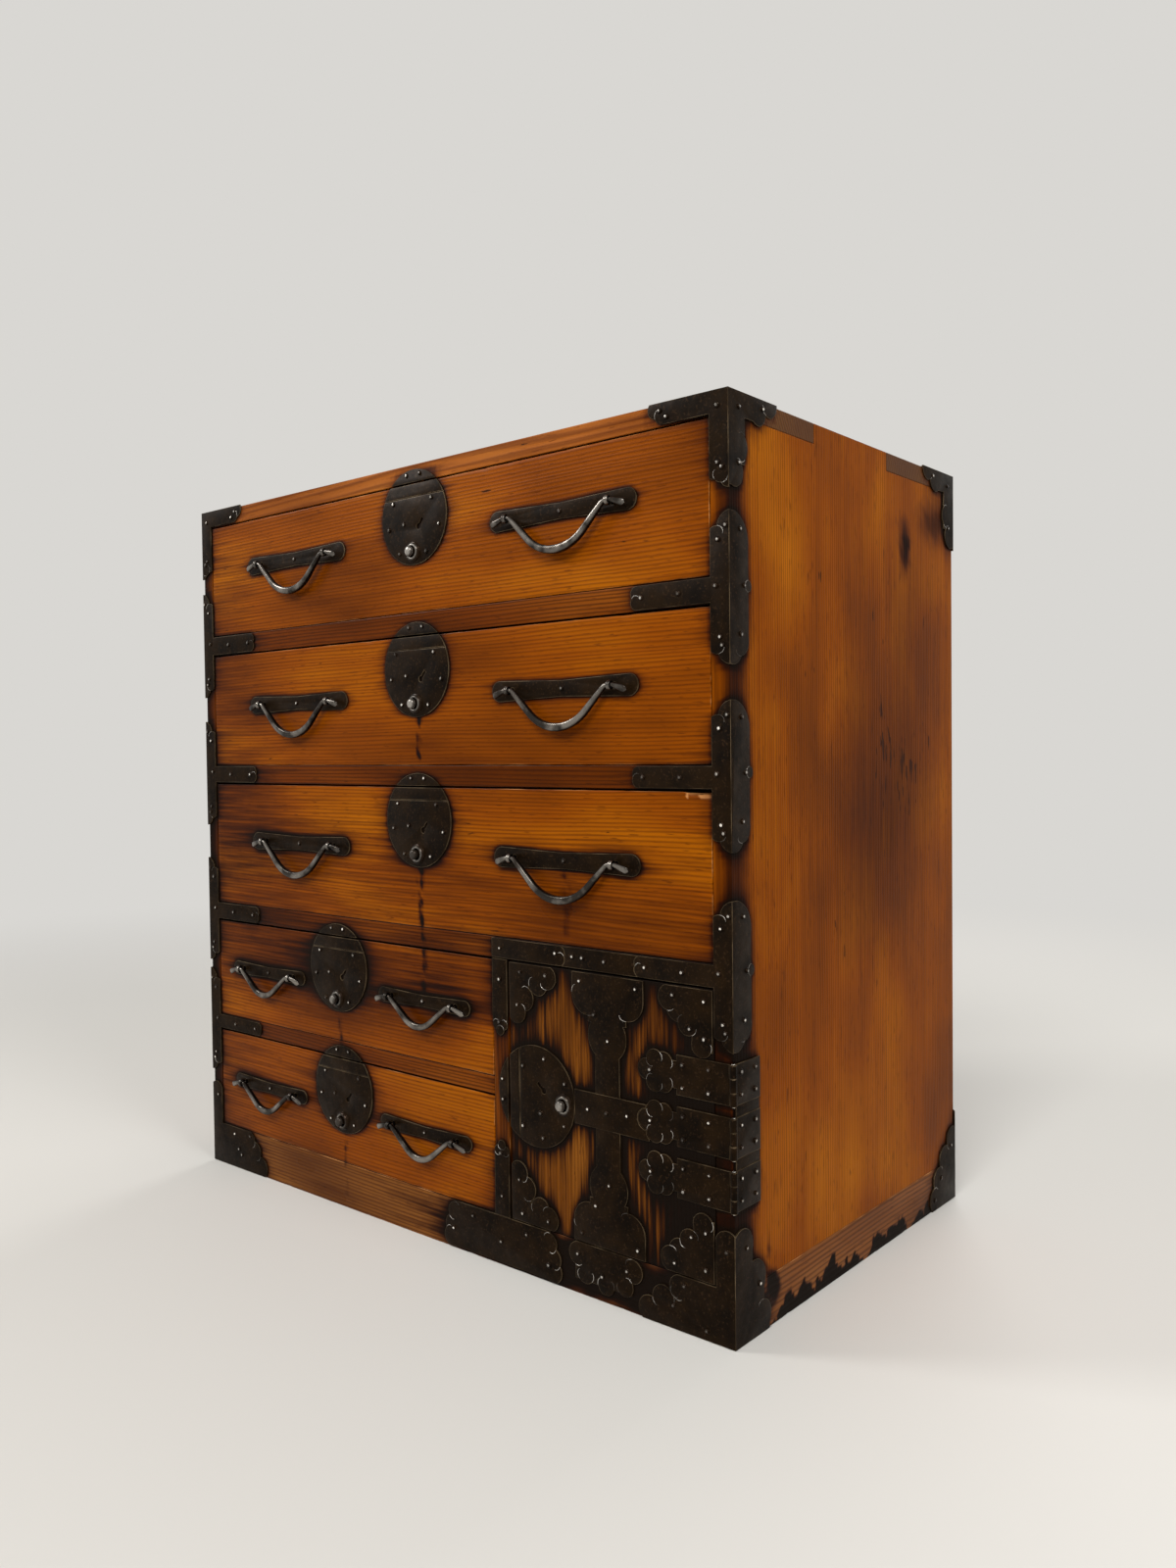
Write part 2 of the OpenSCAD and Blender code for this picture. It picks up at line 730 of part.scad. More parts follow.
// Hinges: the case carries each hinge's end knuckles, the door its middle one
module barrel(z0, z1) {
  translate([hinge_x, hinge_y, z0]) difference() {
    cylinder(r = barrel_r, h = z1 - z0);
    translate([0, 0, -over]) cylinder(r = pin_r + pin_gap, h = z1 - z0 + 2 * over);
  }
}
module side_leaf(z) {
  y0 = hinge_y + groove_r;
  y1 = -case_d / 2 + leaf_l;
  board(wood_half, wood_half + iron_t, y0, y1, z, z + hinge_h);
  for (k = [0, 2]) {
    low = z + k * knuckle_h + (k == 0 ? 0 : knuckle_gap);
    high = z + (k + 1) * knuckle_h - (k == 0 ? knuckle_gap : 0);
    barrel(low, high);
    board(wood_half, wood_half + iron_t, hinge_y + pin_r + pin_gap + fit, y0 + over, low, high);
  }
}
module case_hinge_leaves() {
  color(iron_colour) {
    for (z = hinge_zs) side_leaf(z);
    for (k = [0, 1])
      board(wood_half, wood_half + backing_t, hinge_y + groove_r, -case_d / 2 + leaf_l - over,
            hinge_zs[k] + hinge_h + margin, hinge_zs[k + 1] - margin);
  }
}
module hinge_pins() {
  color(nail_colour) for (z = hinge_zs)
    translate([hinge_x, hinge_y, z - pin_over]) cylinder(r = pin_r, h = hinge_h + 2 * pin_over);
}
module hinge_strap(z) {
  low = z + knuckle_h;
  high = z + 2 * knuckle_h;
  at_front() translate([head_x, z + hinge_h / 2]) linear_extrude(iron_t) {
    lobes_2d(head_lobes);
    blocks_2d(head_blocks);
  }
  board(door_right - over, hinge_x - groove_r, wood_front - iron_t, wood_front, z, z + hinge_h);
  barrel(low, high);
  board(hinge_x - groove_r - over, hinge_x - pin_r - pin_gap - fit,
        wood_front - iron_t, wood_front, low, high);
}
module door_hinge_leaves() {
  color(iron_colour) for (z = hinge_zs) {
    hinge_strap(z);
    at_front() translate([head_x, z + hinge_h / 2]) nails(strap_nails);
  }
}

// Door
module door_board() {
  color(front_colour) difference() {
    board(door_left, door_right, wood_front, door_back, door_low, door_top);
    at_door_lock() lock_pocket();
  }
}
// The two corners of the door at one side, top and bottom, with the plate drawn inwards
module at_door_corners(right) {
  for (low = [0, 1])
    at_front()
      translate([case_w / 2 + (right == 1 ? door_right : door_left), low == 1 ? door_low : door_top])
        mirror([right, 0, 0]) mirror([0, 1 - low, 0]) children();
}
module at_door_middle() {
  at_front() translate([middle_x, door_mid]) children();
}
module middle_halves() {
  half = (door_top - door_low) / 2;
  for (k = [0, 1]) mirror([0, k, 0]) translate([0, half]) mirror([0, 1, 0]) children();
}
module cross_bar() {
  from = case_w / 2 + door_left + lock_reach + run - middle_x;
  translate([from, -bar_half, 0]) cube([head_x + bar_lap - middle_x - from, 2 * bar_half, bar_t]);
}
module middle_irons() {
  difference() {
    union() {
      middle_halves() linear_extrude(iron_t) plate_2d(middle_plate);
      cross_bar();
    }
    translate([head_x - middle_x, hinge_mid - door_mid, -over]) linear_extrude(bar_t + 2 * over)
      lobes_2d(head_lobes, run);
  }
}
module door_irons() {
  color(iron_colour) {
    at_door_corners(0) fitting(lock_corner, "plate");
    at_door_corners(0) fitting(lock_corner, "nails");
    at_door_corners(1) fitting(hinge_corner, "plate");
    at_door_corners(1) fitting(hinge_corner, "nails");
    at_door_middle() {
      middle_irons();
      middle_halves() nails(middle_plate[3]);
      nails(bar_nails, bar_t);
    }
  }
}

// Locks
module lock_pocket() {
  translate([-mortise_half, mortise_low, -mortise_deep])
    cube([2 * mortise_half, mortise_high - mortise_low, mortise_deep + over]);
  translate([-bolt_w / 2 - run, mortise_high - over, bolt_back - run])
    cube([bolt_w + 2 * run, lock_drop - mortise_high + 2 * over, bolt_t + 2 * run]);
}
module keyhole_2d() {
  translate(key_at) {
    circle(r = key_r);
    rotate([0, 0, key_lean]) translate([0, -key_slot_w / 2]) square([key_slot_l, key_slot_w]);
  }
}
module lock_plate() {
  difference() {
    linear_extrude(iron_t) difference() {
      intersection() {
        circle(r = plate_r);
        translate([-plate_r, -plate_r]) square([2 * plate_r, plate_r + lock_drop - margin]);
      }
      keyhole_2d();
      translate(knob_at) circle(r = knob_r + run);
    }
    translate([-plate_r, scribe_v, iron_t - scribe_deep]) cube([2 * plate_r, scribe_w, over]);
  }
}
module lock_case() {
  half = mortise_half - fit;
  low = mortise_low + fit;
  high = mortise_high - fit;
  translate([-half, low, -mortise_deep]) cube([2 * half, high - low, lock_wall]);
  for (k = [-1, 1]) {
    translate([k * (half - lock_wall / 2) - lock_wall / 2, low, -mortise_deep])
      cube([lock_wall, high - low, mortise_deep]);
    translate([k * (bolt_w / 2 + run + guide_w / 2) - guide_w / 2, -guide_half, -mortise_deep])
      cube([guide_w, 2 * guide_half, mortise_deep + bolt_back + bolt_t]);
  }
}
module collar() {
  translate([knob_at[0], knob_at[1], iron_t]) difference() {
    cylinder(r1 = collar_r, r2 = collar_top_r, h = collar_h);
    translate([0, 0, -over]) cylinder(r = knob_r + run, h = collar_h + 2 * over);
  }
}
module lock_set() {
  lock_plate();
  lock_case();
  collar();
  nails(lock_nails);
}
module lock_bolt() {
  translate([-bolt_w / 2, bolt_low, bolt_back])
    cube([bolt_w, lock_drop - bolt_end_gap - bolt_low, bolt_t]);
  translate([knob_at[0] - bolt_tail_w / 2, knob_at[1] - flange_r / 2, bolt_back])
    cube([bolt_tail_w, bolt_low - knob_at[1] + flange_r, bolt_tail_t]);
}
module push_knob() {
  dome_r = (knob_r * knob_r + knob_dome * knob_dome) / (2 * knob_dome);
  translate([knob_at[0], knob_at[1], 0]) {
    translate([0, 0, -run - flange_t]) cylinder(r = flange_r, h = flange_t);
    intersection() {
      translate([0, 0, -run - flange_t]) cylinder(r = knob_r, h = knob_out + run + flange_t);
      translate([0, 0, knob_out - dome_r]) union() {
        sphere(r = dome_r);
        translate([0, 0, -knob_out]) cylinder(r = knob_r, h = knob_out);
      }
    }
  }
}
module door_lock() {
  color(iron_colour) at_door_lock() lock_set();
}
module door_bolt() {
  color(nail_colour) at_door_lock() lock_bolt();
}
module door_knob() {
  color(nail_colour) at_door_lock() push_knob();
}

// Drawers
module drawer_front(n) {
  half = drawer_w(n) / 2;
  front_back = wood_front + front_t;
  color(front_colour) difference() {
    translate([drawer_x(n), 0, 0])
      board(-half, half, wood_front, front_back, drawer_z(n), drawer_top(n));
    translate([drawer_x(n), 0, 0]) {
      left_too() board(half - box_inset - box_t, half + over, front_back - lap, front_back + over,
                       drawer_z(n) + floor_t - fit, drawer_top(n) - side_low);
      board(-half - over, half + over, front_back - lap, front_back + over,
            drawer_z(n) - over, drawer_z(n) + floor_t);
    }
    at_lock(n) lock_pocket();
    for (side = [-1, 1], eye = [-1, 1])
      at_handle(n, side) translate([eye * grip(n), 0, -front_t - over])
        cylinder(r = stem_r + fit, h = front_t + 2 * over);
  }
}
module drawer_box(n) {
  half = drawer_w(n) / 2 - box_inset;
  y0 = wood_front + front_t - lap;
  low = drawer_z(n) + floor_t;
  color(bare_colour) translate([drawer_x(n), 0, 0]) {
    left_too() board(half - box_t, half, y0, drawer_back, low, drawer_top(n) - side_low);
    board(-half + box_t, half - box_t, drawer_back - box_t, drawer_back, low, drawer_top(n) - back_low);
    board(-half, half, y0, drawer_back, drawer_z(n), low);
  }
}
module handle_plate(n) {
  half = grip(n) + plate_reach(n);
  end_r = plate_end_r(n);
  waist = plate_waist(n);
  linear_extrude(iron_t) difference() {
    union() {
      polygon([[end_r - half, end_r], [0, waist], [half - end_r, end_r],
               [half - end_r, -end_r], [0, -waist], [end_r - half, -end_r]]);
      for (k = [-1, 1]) translate([k * (half - end_r), 0]) circle(r = end_r);
    }
    for (k = [-1, 1]) translate([k * grip(n), 0]) circle(r = stem_r + fit);
  }
}
module eye_post() {
  difference() {
    union() {
      translate([0, 0, -front_t]) cylinder(r = stem_r, h = front_t + eye_out);
      translate([-eye_l / 2, 0, eye_out]) rotate([0, 90, 0]) cylinder(r = eye_r, h = eye_l);
      translate([0, 0, -front_t - clinch_t]) cylinder(r = clinch_r, h = clinch_t);
    }
    translate([-eye_l, 0, eye_out]) rotate([0, 90, 0]) cylinder(r = peg_r + run, h = 2 * eye_l);
  }
}
module drawer_ironwork(n) {
  color(iron_colour) {
    at_lock(n) lock_set();
    for (side = [-1, 1]) at_handle(n, side) {
      handle_plate(n);
      for (k = [-1, 1]) translate([k * grip(n), 0, 0]) eye_post();
      nails([[0, 0]]);
    }
  }
}
// A bail: pegs through the eyes, a bend to straight arms that lean inwards, and a round bottom
module bend(r, from_angle, angle, rod) {
  rotate([0, 0, from_angle]) rotate_extrude(angle = angle) translate([r, 0]) circle(r = rod);
}
module rod_along(angle, l, r1, r2) {
  rotate([0, 0, angle]) rotate([0, 90, 0]) translate([0, 0, -bite])
    cylinder(r1 = r1, r2 = r2, h = l + 2 * bite);
}
module bail(n) {
  inner = grip(n) - eye_l / 2 - eye_play;
  outer = grip(n) + eye_l / 2 + eye_play;
  a = lean(n);
  reach = (inner * tan(a) - drop(n)) / (sin(a) * tan(a) - (1 - cos(a)));
  arc_r = reach - bend_r;
  arm_l = (inner - reach * sin(a)) / cos(a);
  translate([0, 0, eye_out]) {
    translate([0, arc_r - drop(n), 0]) bend(arc_r, 270 - a, 2 * a, rod_r);
    left_too() {
      translate([inner - bend_r * sin(a), bend_r * (cos(a) - 1), 0])
        rod_along(180 + a, arm_l, peg_r, rod_r - swell);
      translate([inner, -bend_r, 0]) bend(bend_r, 90, a, peg_r + swell);
      translate([inner, 0, 0]) rod_along(0, outer - inner, peg_r, peg_r);
      translate([outer, -bend_r, 0]) bend(bend_r, 90 - tail_slope, tail_slope, peg_r + swell);
      translate([outer + bend_r * sin(tail_slope), bend_r * (cos(tail_slope) - 1), 0])
        rod_along(-tail_slope, tail_l, peg_r, peg_r);
    }
  }
}

// Where each drawer part comes from its number
module drawer_part(n, part) {
  if (part == "front") drawer_front(n);
  if (part == "box") drawer_box(n);
  if (part == "ironwork") drawer_ironwork(n);
  if (part == "bolt") color(nail_colour) at_lock(n) lock_bolt();
  if (part == "knob") color(nail_colour) at_lock(n) push_knob();
  if (part == "bail_left") color(iron_colour) at_handle(n, -1) bail(n);
  if (part == "bail_right") color(iron_colour) at_handle(n, 1) bail(n);
}

side_board_left();
side_board_right();
top_board();
bottom_board();
base_rails();
back_boards();
front_rails();
door_post();
partition();
dust_boards();
safe_shelf();
stops();
corner_irons();
foot_irons();
edge_irons();
lock_keepers();
case_hinge_leaves();
hinge_pins();
case_nails();
door_board();
door_irons();
door_hinge_leaves();
door_lock();
door_bolt();
door_knob();
for (n = DRAWERS, part = DRAWER_PARTS)
  drawer_part(n, part);
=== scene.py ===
# %% [markdown]
# # A tansu: a Japanese clothing chest with iron fittings
#
# The real chest is built from softwood boards under a thin orange-brown lacquer. Sheet iron plates
# are nailed over its corners, feet and rail ends, and the heat and oil of the ironwork have left dark
# halos in the wood around every plate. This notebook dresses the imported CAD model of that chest:
# the CAD gives every place and motion, and each step below makes one kind of surface.

# %% Load the frame
import json
import math
from functools import partial

import bmesh
import bpy
import numpy as np
from mathutils import Matrix, Vector

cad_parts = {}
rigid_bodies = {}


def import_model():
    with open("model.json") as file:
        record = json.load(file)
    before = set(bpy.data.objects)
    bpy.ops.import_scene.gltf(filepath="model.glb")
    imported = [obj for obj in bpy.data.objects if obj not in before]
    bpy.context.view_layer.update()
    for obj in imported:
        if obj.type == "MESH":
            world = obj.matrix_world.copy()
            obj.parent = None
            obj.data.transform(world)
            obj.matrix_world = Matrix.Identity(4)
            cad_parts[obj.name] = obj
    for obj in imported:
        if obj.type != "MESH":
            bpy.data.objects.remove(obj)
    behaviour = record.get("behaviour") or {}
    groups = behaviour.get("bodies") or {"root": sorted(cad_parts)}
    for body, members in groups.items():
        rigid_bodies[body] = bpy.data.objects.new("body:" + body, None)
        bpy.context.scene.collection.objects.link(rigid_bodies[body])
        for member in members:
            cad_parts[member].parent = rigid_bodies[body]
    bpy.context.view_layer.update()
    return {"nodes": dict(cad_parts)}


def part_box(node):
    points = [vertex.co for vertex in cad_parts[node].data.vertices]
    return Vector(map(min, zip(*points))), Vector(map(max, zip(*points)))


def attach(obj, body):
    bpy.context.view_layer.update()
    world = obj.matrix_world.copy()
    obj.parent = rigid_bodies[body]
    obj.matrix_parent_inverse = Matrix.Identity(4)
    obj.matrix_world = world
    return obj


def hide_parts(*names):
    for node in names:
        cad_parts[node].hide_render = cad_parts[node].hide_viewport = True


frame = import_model()
MM = 0.001

# %% [markdown]
# ## Measures
#
# The places come from the CAD nodes' own boxes, so that nothing has to be typed twice. The front of
# the wood is at -Y, and the sheet iron lies on it, one and a half millimetres thick.

# %% Places read from the CAD
def span(node):
    """Lowest and highest corner of a CAD node, as two numpy rows in metres."""
    low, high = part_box(node)
    return np.array(low), np.array(high)


wood_low, wood_high = span("base_rails")
WOOD_FRONT = wood_low[1]
WOOD_SIDE = wood_high[0]
WOOD_TOP = span("top_board")[1][2]
LEFT_EDGE = span("edge_irons")[0][0]
PLATE_THICK = 1.5 * MM
DRAWERS = (1, 2, 3, 4, 5)
# The five outer faces of the case as axis and side, and how far out the wood lies along each axis
FACES = ((0, -1), (0, 1), (1, -1), (1, 1), (2, 1))
WOOD_OUT = (WOOD_SIDE, -WOOD_FRONT, WOOD_TOP)
print("wood front, side, top (mm):", [round(v / MM, 1) for v in (WOOD_FRONT, WOOD_SIDE, WOOD_TOP)])

# %% [markdown]
# ## Small tools
#
# Colours are written as sRGB hex, as a colour picker shows them, and one function turns them to the
# linear values that Blender works in. One function adds a node to a material: it sets the node's
# settings, fills its sockets, and links what is given as a socket of another node.

# %% Colours and nodes
def linear(colour):
    """An sRGB hex colour as linear red, green, blue and alpha, by the sRGB curve."""
    v = np.array([int(colour[k:k + 2], 16) for k in (1, 3, 5)]) / 255
    v = np.where(v <= 0.04045, v / 12.92, ((v + 0.055) / 1.055) ** 2.4)
    return (*v.tolist(), 1.0)


def fill(node, sockets):
    """Gives a node's inputs values, or links them to other nodes' outputs.

    sockets is a dict by the inputs' names, or a list in the order of the inputs that the node shows.
    """
    if not isinstance(sockets, dict):
        sockets = dict(zip([k for k, socket in enumerate(node.inputs) if socket.enabled], sockets))
    for key, value in sockets.items():
        if isinstance(value, bpy.types.Node):
            value = next(socket for socket in value.outputs if socket.enabled)
        if isinstance(value, bpy.types.NodeSocket):
            node.id_data.links.new(value, node.inputs[key])
        else:
            node.inputs[key].default_value = value
    return node


def add_node(tree, kind, sockets=(), stops=(), **settings):
    """Adds one node with its settings, the places and colours of its ramp, and its filled inputs."""
    node = tree.nodes.new("ShaderNode" + kind)
    for name, value in settings.items():
        setattr(node, name, value)
    for _ in stops[2:]:
        node.color_ramp.elements.new(0.5)
    for k, (place, colour) in enumerate(stops):
        node.color_ramp.elements[k].position = place
        node.color_ramp.elements[k].color = linear(colour)
    return fill(node, sockets)


def new_material(name):
    """An empty material, the function that adds its nodes, and its Principled shader."""
    material = bpy.data.materials.new(name)
    material.use_nodes = True
    return material, partial(add_node, material.node_tree), material.node_tree.nodes["Principled BSDF"]


# %% Meshes
def read(items, name, width=3, kind=float):
    """One property of all the items of a mesh, as rows."""
    values = np.empty(len(items) * width, dtype=kind)
    items.foreach_get(name, values)
    return values.reshape(-1, width)


def place_mesh(name, mesh, material, body, replaced=(), **values):
    """Makes a mesh a piece on its body, at the origin, for the CAD nodes that it replaces.

    values are attributes by name, with a number for each point, or else for each corner of a face.
    """
    for key, numbers in values.items():
        domain = "POINT" if len(numbers) == len(mesh.vertices) else "CORNER"
        mesh.attributes.new(key, "FLOAT", domain).data.foreach_set("value", numbers.astype(np.float32))
    mesh.materials.append(material)
    piece = bpy.data.objects.new(name, mesh)
    bpy.context.scene.collection.objects.link(piece)
    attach(piece, body)
    if replaced:
        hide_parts(*replaced)
    return piece


def make_object(name, points, faces, material, body, replaced=(), **values):
    """A smooth piece from rows of points and a list of arrays of faces, each array of one size of face."""
    mesh = bpy.data.meshes.new(name)
    mesh.from_pydata(points.tolist(), [], [face for group in faces for face in group.tolist()])
    mesh.polygons.foreach_set("use_smooth", np.ones(len(mesh.polygons), dtype=bool))
    return place_mesh(name, mesh, material, body, replaced, **values)


def grid_quads(index, closed=False):
    """The quads of a grid of point numbers; a closed grid's last column is followed by its first."""
    if closed:
        index = np.concatenate([index, index[:, :1]], axis=1)
    return np.stack([index[:-1, :-1], index[1:, :-1], index[1:, 1:], index[:-1, 1:]], -1).reshape(-1, 4)


TURNED_OVER = [0, 3, 2, 1]  # a quad's corners in the order that shows its other side


def weld(points, faces):
    """Points in the same place, to a tenth of a micrometre, become one point."""
    _, first, where = np.unique(np.round(points * 1e7).astype(np.int64), axis=0,
                                return_index=True, return_inverse=True)
    return points[first], where.reshape(-1)[faces]


def ripple(points, size, seed):
    """Smooth noise from about -1 to 1: the mean of twelve sine waves in seeded directions, size long."""
    draw = np.random.default_rng(seed)
    ways = draw.normal(size=(12, 3))
    ways *= (2 * np.pi / size * draw.uniform(0.6, 1.6, 12) / np.linalg.norm(ways, axis=1))[:, None]
    return 2.2 * np.sin(points @ ways.T + draw.uniform(0, 2 * np.pi, 12)).mean(axis=1)


def mesh_arrays(node):
    """Points and triangles of a CAD node, with its loose triangles welded."""
    mesh = frame["nodes"][node].data
    mesh.calc_loop_triangles()
    return weld(read(mesh.vertices, "co"), read(mesh.loop_triangles, "vertices", kind=np.int32))


# %% [markdown]
# ## Where the iron lies
#
# The dark halos in the wood follow the iron, so the iron's own triangles are drawn into a map of each
# face of the chest, one cell per millimetre. Blurred maps of it then say how near a point of the wood
# is to iron. A blur that is longer along the grain gives the streaks that soot and oil leave there.

# %% Maps of the iron
CELL = 1.0 * MM
MAP_EDGE = 0.06
IRON_NODES = ["corner_irons", "foot_irons", "edge_irons", "lock_keepers", "case_hinge_leaves", "door_irons",
              "door_hinge_leaves", "door_lock"] + [f"drawer_{n}_ironwork" for n in DRAWERS]
iron_points = {n: mesh_arrays(n) for n in IRON_NODES}


def across(axis):
    """The other two axes."""
    return [k for k in range(3) if k != axis]


def iron_map(axis, side):
    """1 where iron covers that outer face of the wood, else 0, and the map's lowest corner.

    A cell is covered if its middle lies inside a triangle that faces outwards: the three cross
    products of the triangle's edges with the way to the cell all have one sign.
    """
    low, high = wood_low[across(axis)] - MAP_EDGE, wood_high[across(axis)] + MAP_EDGE
    if axis != 2:
        high[1] = WOOD_TOP + MAP_EDGE
    cells = np.ceil((high - low) / CELL).astype(int)
    chart = np.zeros(cells)
    for points, triangles in iron_points.values():
        corners = points[triangles]
        normal = np.cross(corners[:, 1] - corners[:, 0], corners[:, 2] - corners[:, 0])
        outwards = normal[:, axis] * side > 0.7 * np.linalg.norm(normal, axis=1)
        outwards &= corners[:, :, axis].mean(axis=1) * side > WOOD_OUT[axis] + 0.2 * MM
        for triangle in (corners[outwards][:, :, across(axis)] - low) / CELL:
            a = np.maximum(np.floor(triangle.min(0)).astype(int), 0)
            b = np.minimum(np.ceil(triangle.max(0)).astype(int) + 1, cells)
            first, second = np.meshgrid(np.arange(a[0], b[0]), np.arange(a[1], b[1]), indexing="ij")
            grid = np.stack([first, second], -1) + 0.5
            edge = np.roll(triangle, -1, axis=0) - triangle
            way = grid[..., None, :] - triangle
            signs = edge[:, 0] * way[..., 1] - edge[:, 1] * way[..., 0]
            inside = (signs >= 0).all(-1) | (signs <= 0).all(-1)
            chart[a[0]:b[0], a[1]:b[1]][inside] = 1
    return chart, low


def blurred(chart, *sigma):
    """The map smoothed by a bell curve of sigma = first, second millimetres, through the FFT."""
    waves = [np.fft.fftfreq(n) for n in chart.shape]
    bell = [np.exp(-2 * (np.pi * f * s * MM / CELL) ** 2) for f, s in zip(waves, sigma)]
    return np.fft.ifft2(np.fft.fft2(chart) * bell[0][:, None] * bell[1][None, :]).real


def looked_up(chart, low, points):
    """The map's value at each point, between the four cells around it."""
    place = np.clip((points - low) / CELL - 0.5, 0, np.array(chart.shape) - 1.001)
    cell = place.astype(int)
    part = place - cell
    value = 0
    for i in (0, 1):
        for j in (0, 1):
            share = np.abs(1 - i - part[:, 0]) * np.abs(1 - j - part[:, 1])
            value = value + share * chart[cell[:, 0] + i, cell[:, 1] + j]
    return value


# Sizes of the halo's blurs in mm: close to the iron, far from it, and along and across the grain
HALO_NEAR = 2.6
HALO_FAR = 10
STREAK_LONG = 22
STREAK_THIN = 1.8
halos = {}
iron_charts = {}
for axis, side in FACES:
    chart, low = iron_charts[axis, side] = iron_map(axis, side)
    round_halo = 0.9 * blurred(chart, HALO_NEAR, HALO_NEAR) + 0.5 * blurred(chart, HALO_FAR, HALO_FAR)
    halos[axis, side, 0] = round_halo + 0.75 * blurred(chart, STREAK_LONG, STREAK_THIN)
    halos[axis, side, 1] = round_halo + 0.75 * blurred(chart, STREAK_THIN, STREAK_LONG)
    print("face", "xyz"[axis], side, "iron covers", round(100 * chart.mean()), "% of its map")

SOOT_DEEP = 4 * MM  # how far behind a face the soot still reaches


def soot_on(points, grain):
    """Soot from the iron at each point of the wood, from the map of the outer face that it lies on."""
    soot = np.zeros(len(points))
    for axis, side in FACES:
        near = points[:, axis] * side > WOOD_OUT[axis] - SOOT_DEEP
        halo = halos[axis, side, 0 if grain == across(axis)[0] else 1]
        value = looked_up(halo, iron_charts[axis, side][1], points[near][:, across(axis)])
        depth = (WOOD_OUT[axis] - points[near, axis] * side) / SOOT_DEEP
        soot[near] = np.maximum(soot[near], value * np.clip(1 - 0.6 * depth, 0, 1))
    return np.clip(soot, 0, 2)


# %% [markdown]
# ## Boards with soft, worn edges
#
# A planed board is a box, but a hundred years of hands round its edges and leave shallow dents. A box
# surface is easy to write as six grids. Each point within r of an edge is then pulled onto a ball of
# radius r around the nearest point of a box that is r smaller: that rounds every edge and corner. The
# grid lies closer near the edges, and extra grid lines give places for mortises.

# %% The board as a surface
EDGE_STEPS = np.array([0, 0.3, 0.65, 1.0])


def grid_lines(low, high, pitch, r, extra=()):
    """Grid places from low to high: close together in the rounded ends, even between, and the extra ones."""
    middle = np.linspace(low + r, high - r, max(1, round((high - low - 2 * r) / pitch)) + 1)
    lines = np.concatenate([low + r * EDGE_STEPS, middle, high - r * EDGE_STEPS, extra])
    return np.unique(np.round(lines, 7))


def board_surface(low, high, pitch, r, extra):
    """A box as six welded grids with edges rounded to r.

    q is the point p moved into the box that is r smaller, and the new point is q + r (p - q) / |p - q|.
    Also gives that way, and how near each point is to an edge.
    """
    lines = [grid_lines(low[k], high[k], pitch[k], r, extra[k]) for k in range(3)]
    points, quads, start = [], [], 0
    for axis in range(3):
        u, v = (axis + 1) % 3, (axis + 2) % 3
        first, second = np.meshgrid(lines[u], lines[v], indexing="ij")
        for end in (low, high):
            p = np.empty(first.shape + (3,))
            p[..., u], p[..., v], p[..., axis] = first, second, end[axis]
            quad = grid_quads(start + np.arange(first.size).reshape(first.shape))
            points.append(p.reshape(-1, 3))
            quads.append(quad if end is high else quad[:, ::-1])
            start += first.size
    p, faces = weld(np.concatenate(points), np.concatenate(quads))
    q = np.clip(p, low + r, high - r)
    way = (p - q) / np.linalg.norm(p - q, axis=1)[:, None]
    depth = np.sort(np.minimum(p - low, high - p), axis=1)[:, 1]
    return q + r * way, faces, way, depth


SINK_PLAY = 0.04 * MM
EDGE_FACE = 0.6 * MM  # points this near to a board's edge face belong to it


def sink(points, face, axis, side, limits, depth):
    """A mortise: the points of an edge face, between limits along the other two axes, move in by depth."""
    inside = (face - points[:, axis]) * side < EDGE_FACE + SINK_PLAY
    for k, (start, end) in zip(across(axis), limits):
        inside &= (points[:, k] > start - SINK_PLAY) & (points[:, k] < end + SINK_PLAY)
    points[inside, axis] -= side * depth


# %% [markdown]
# ## Lacquered softwood
#
# The fronts are straight-grained softwood, planed smooth and wiped with a thin, oily orange-brown
# lacquer. The grain is lines about four millimetres apart that run the whole board: a cut through the
# year rings of a thick log. So they are drawn as rings round a heart far from the board, swayed by a
# soft noise, and a noise stretched along the grain breaks them up. A coarser one gives the bands of
# wood and an even one the cloudy lacquer. The halo value from above darkens it to char.

# %% Wood material
# Cells per metre across the grain: fine lines about 2 mm apart, and bands about 9 mm wide
GRAIN_LINES = 560
GRAIN_BANDS = 110
RING_PITCH = 3.7 * MM
RING_SWAY = 12 * MM
# Where the log's heart lies for boards whose grain runs along x, y and z
HEARTS = ((0, 0.3, -1.6), (-1.0, 0, -1.6), (-1.6, 0.3, 0))
# What shows where the lacquer is rubbed off, in charred wood, on a cut end, and through thin soot and light
# painted shade
BARE = "#cc8e54"
CHAR = "#0d0602"
END_GRAIN = "#3a291b"
SMOKE_AND_SHADE = "#7a5236"


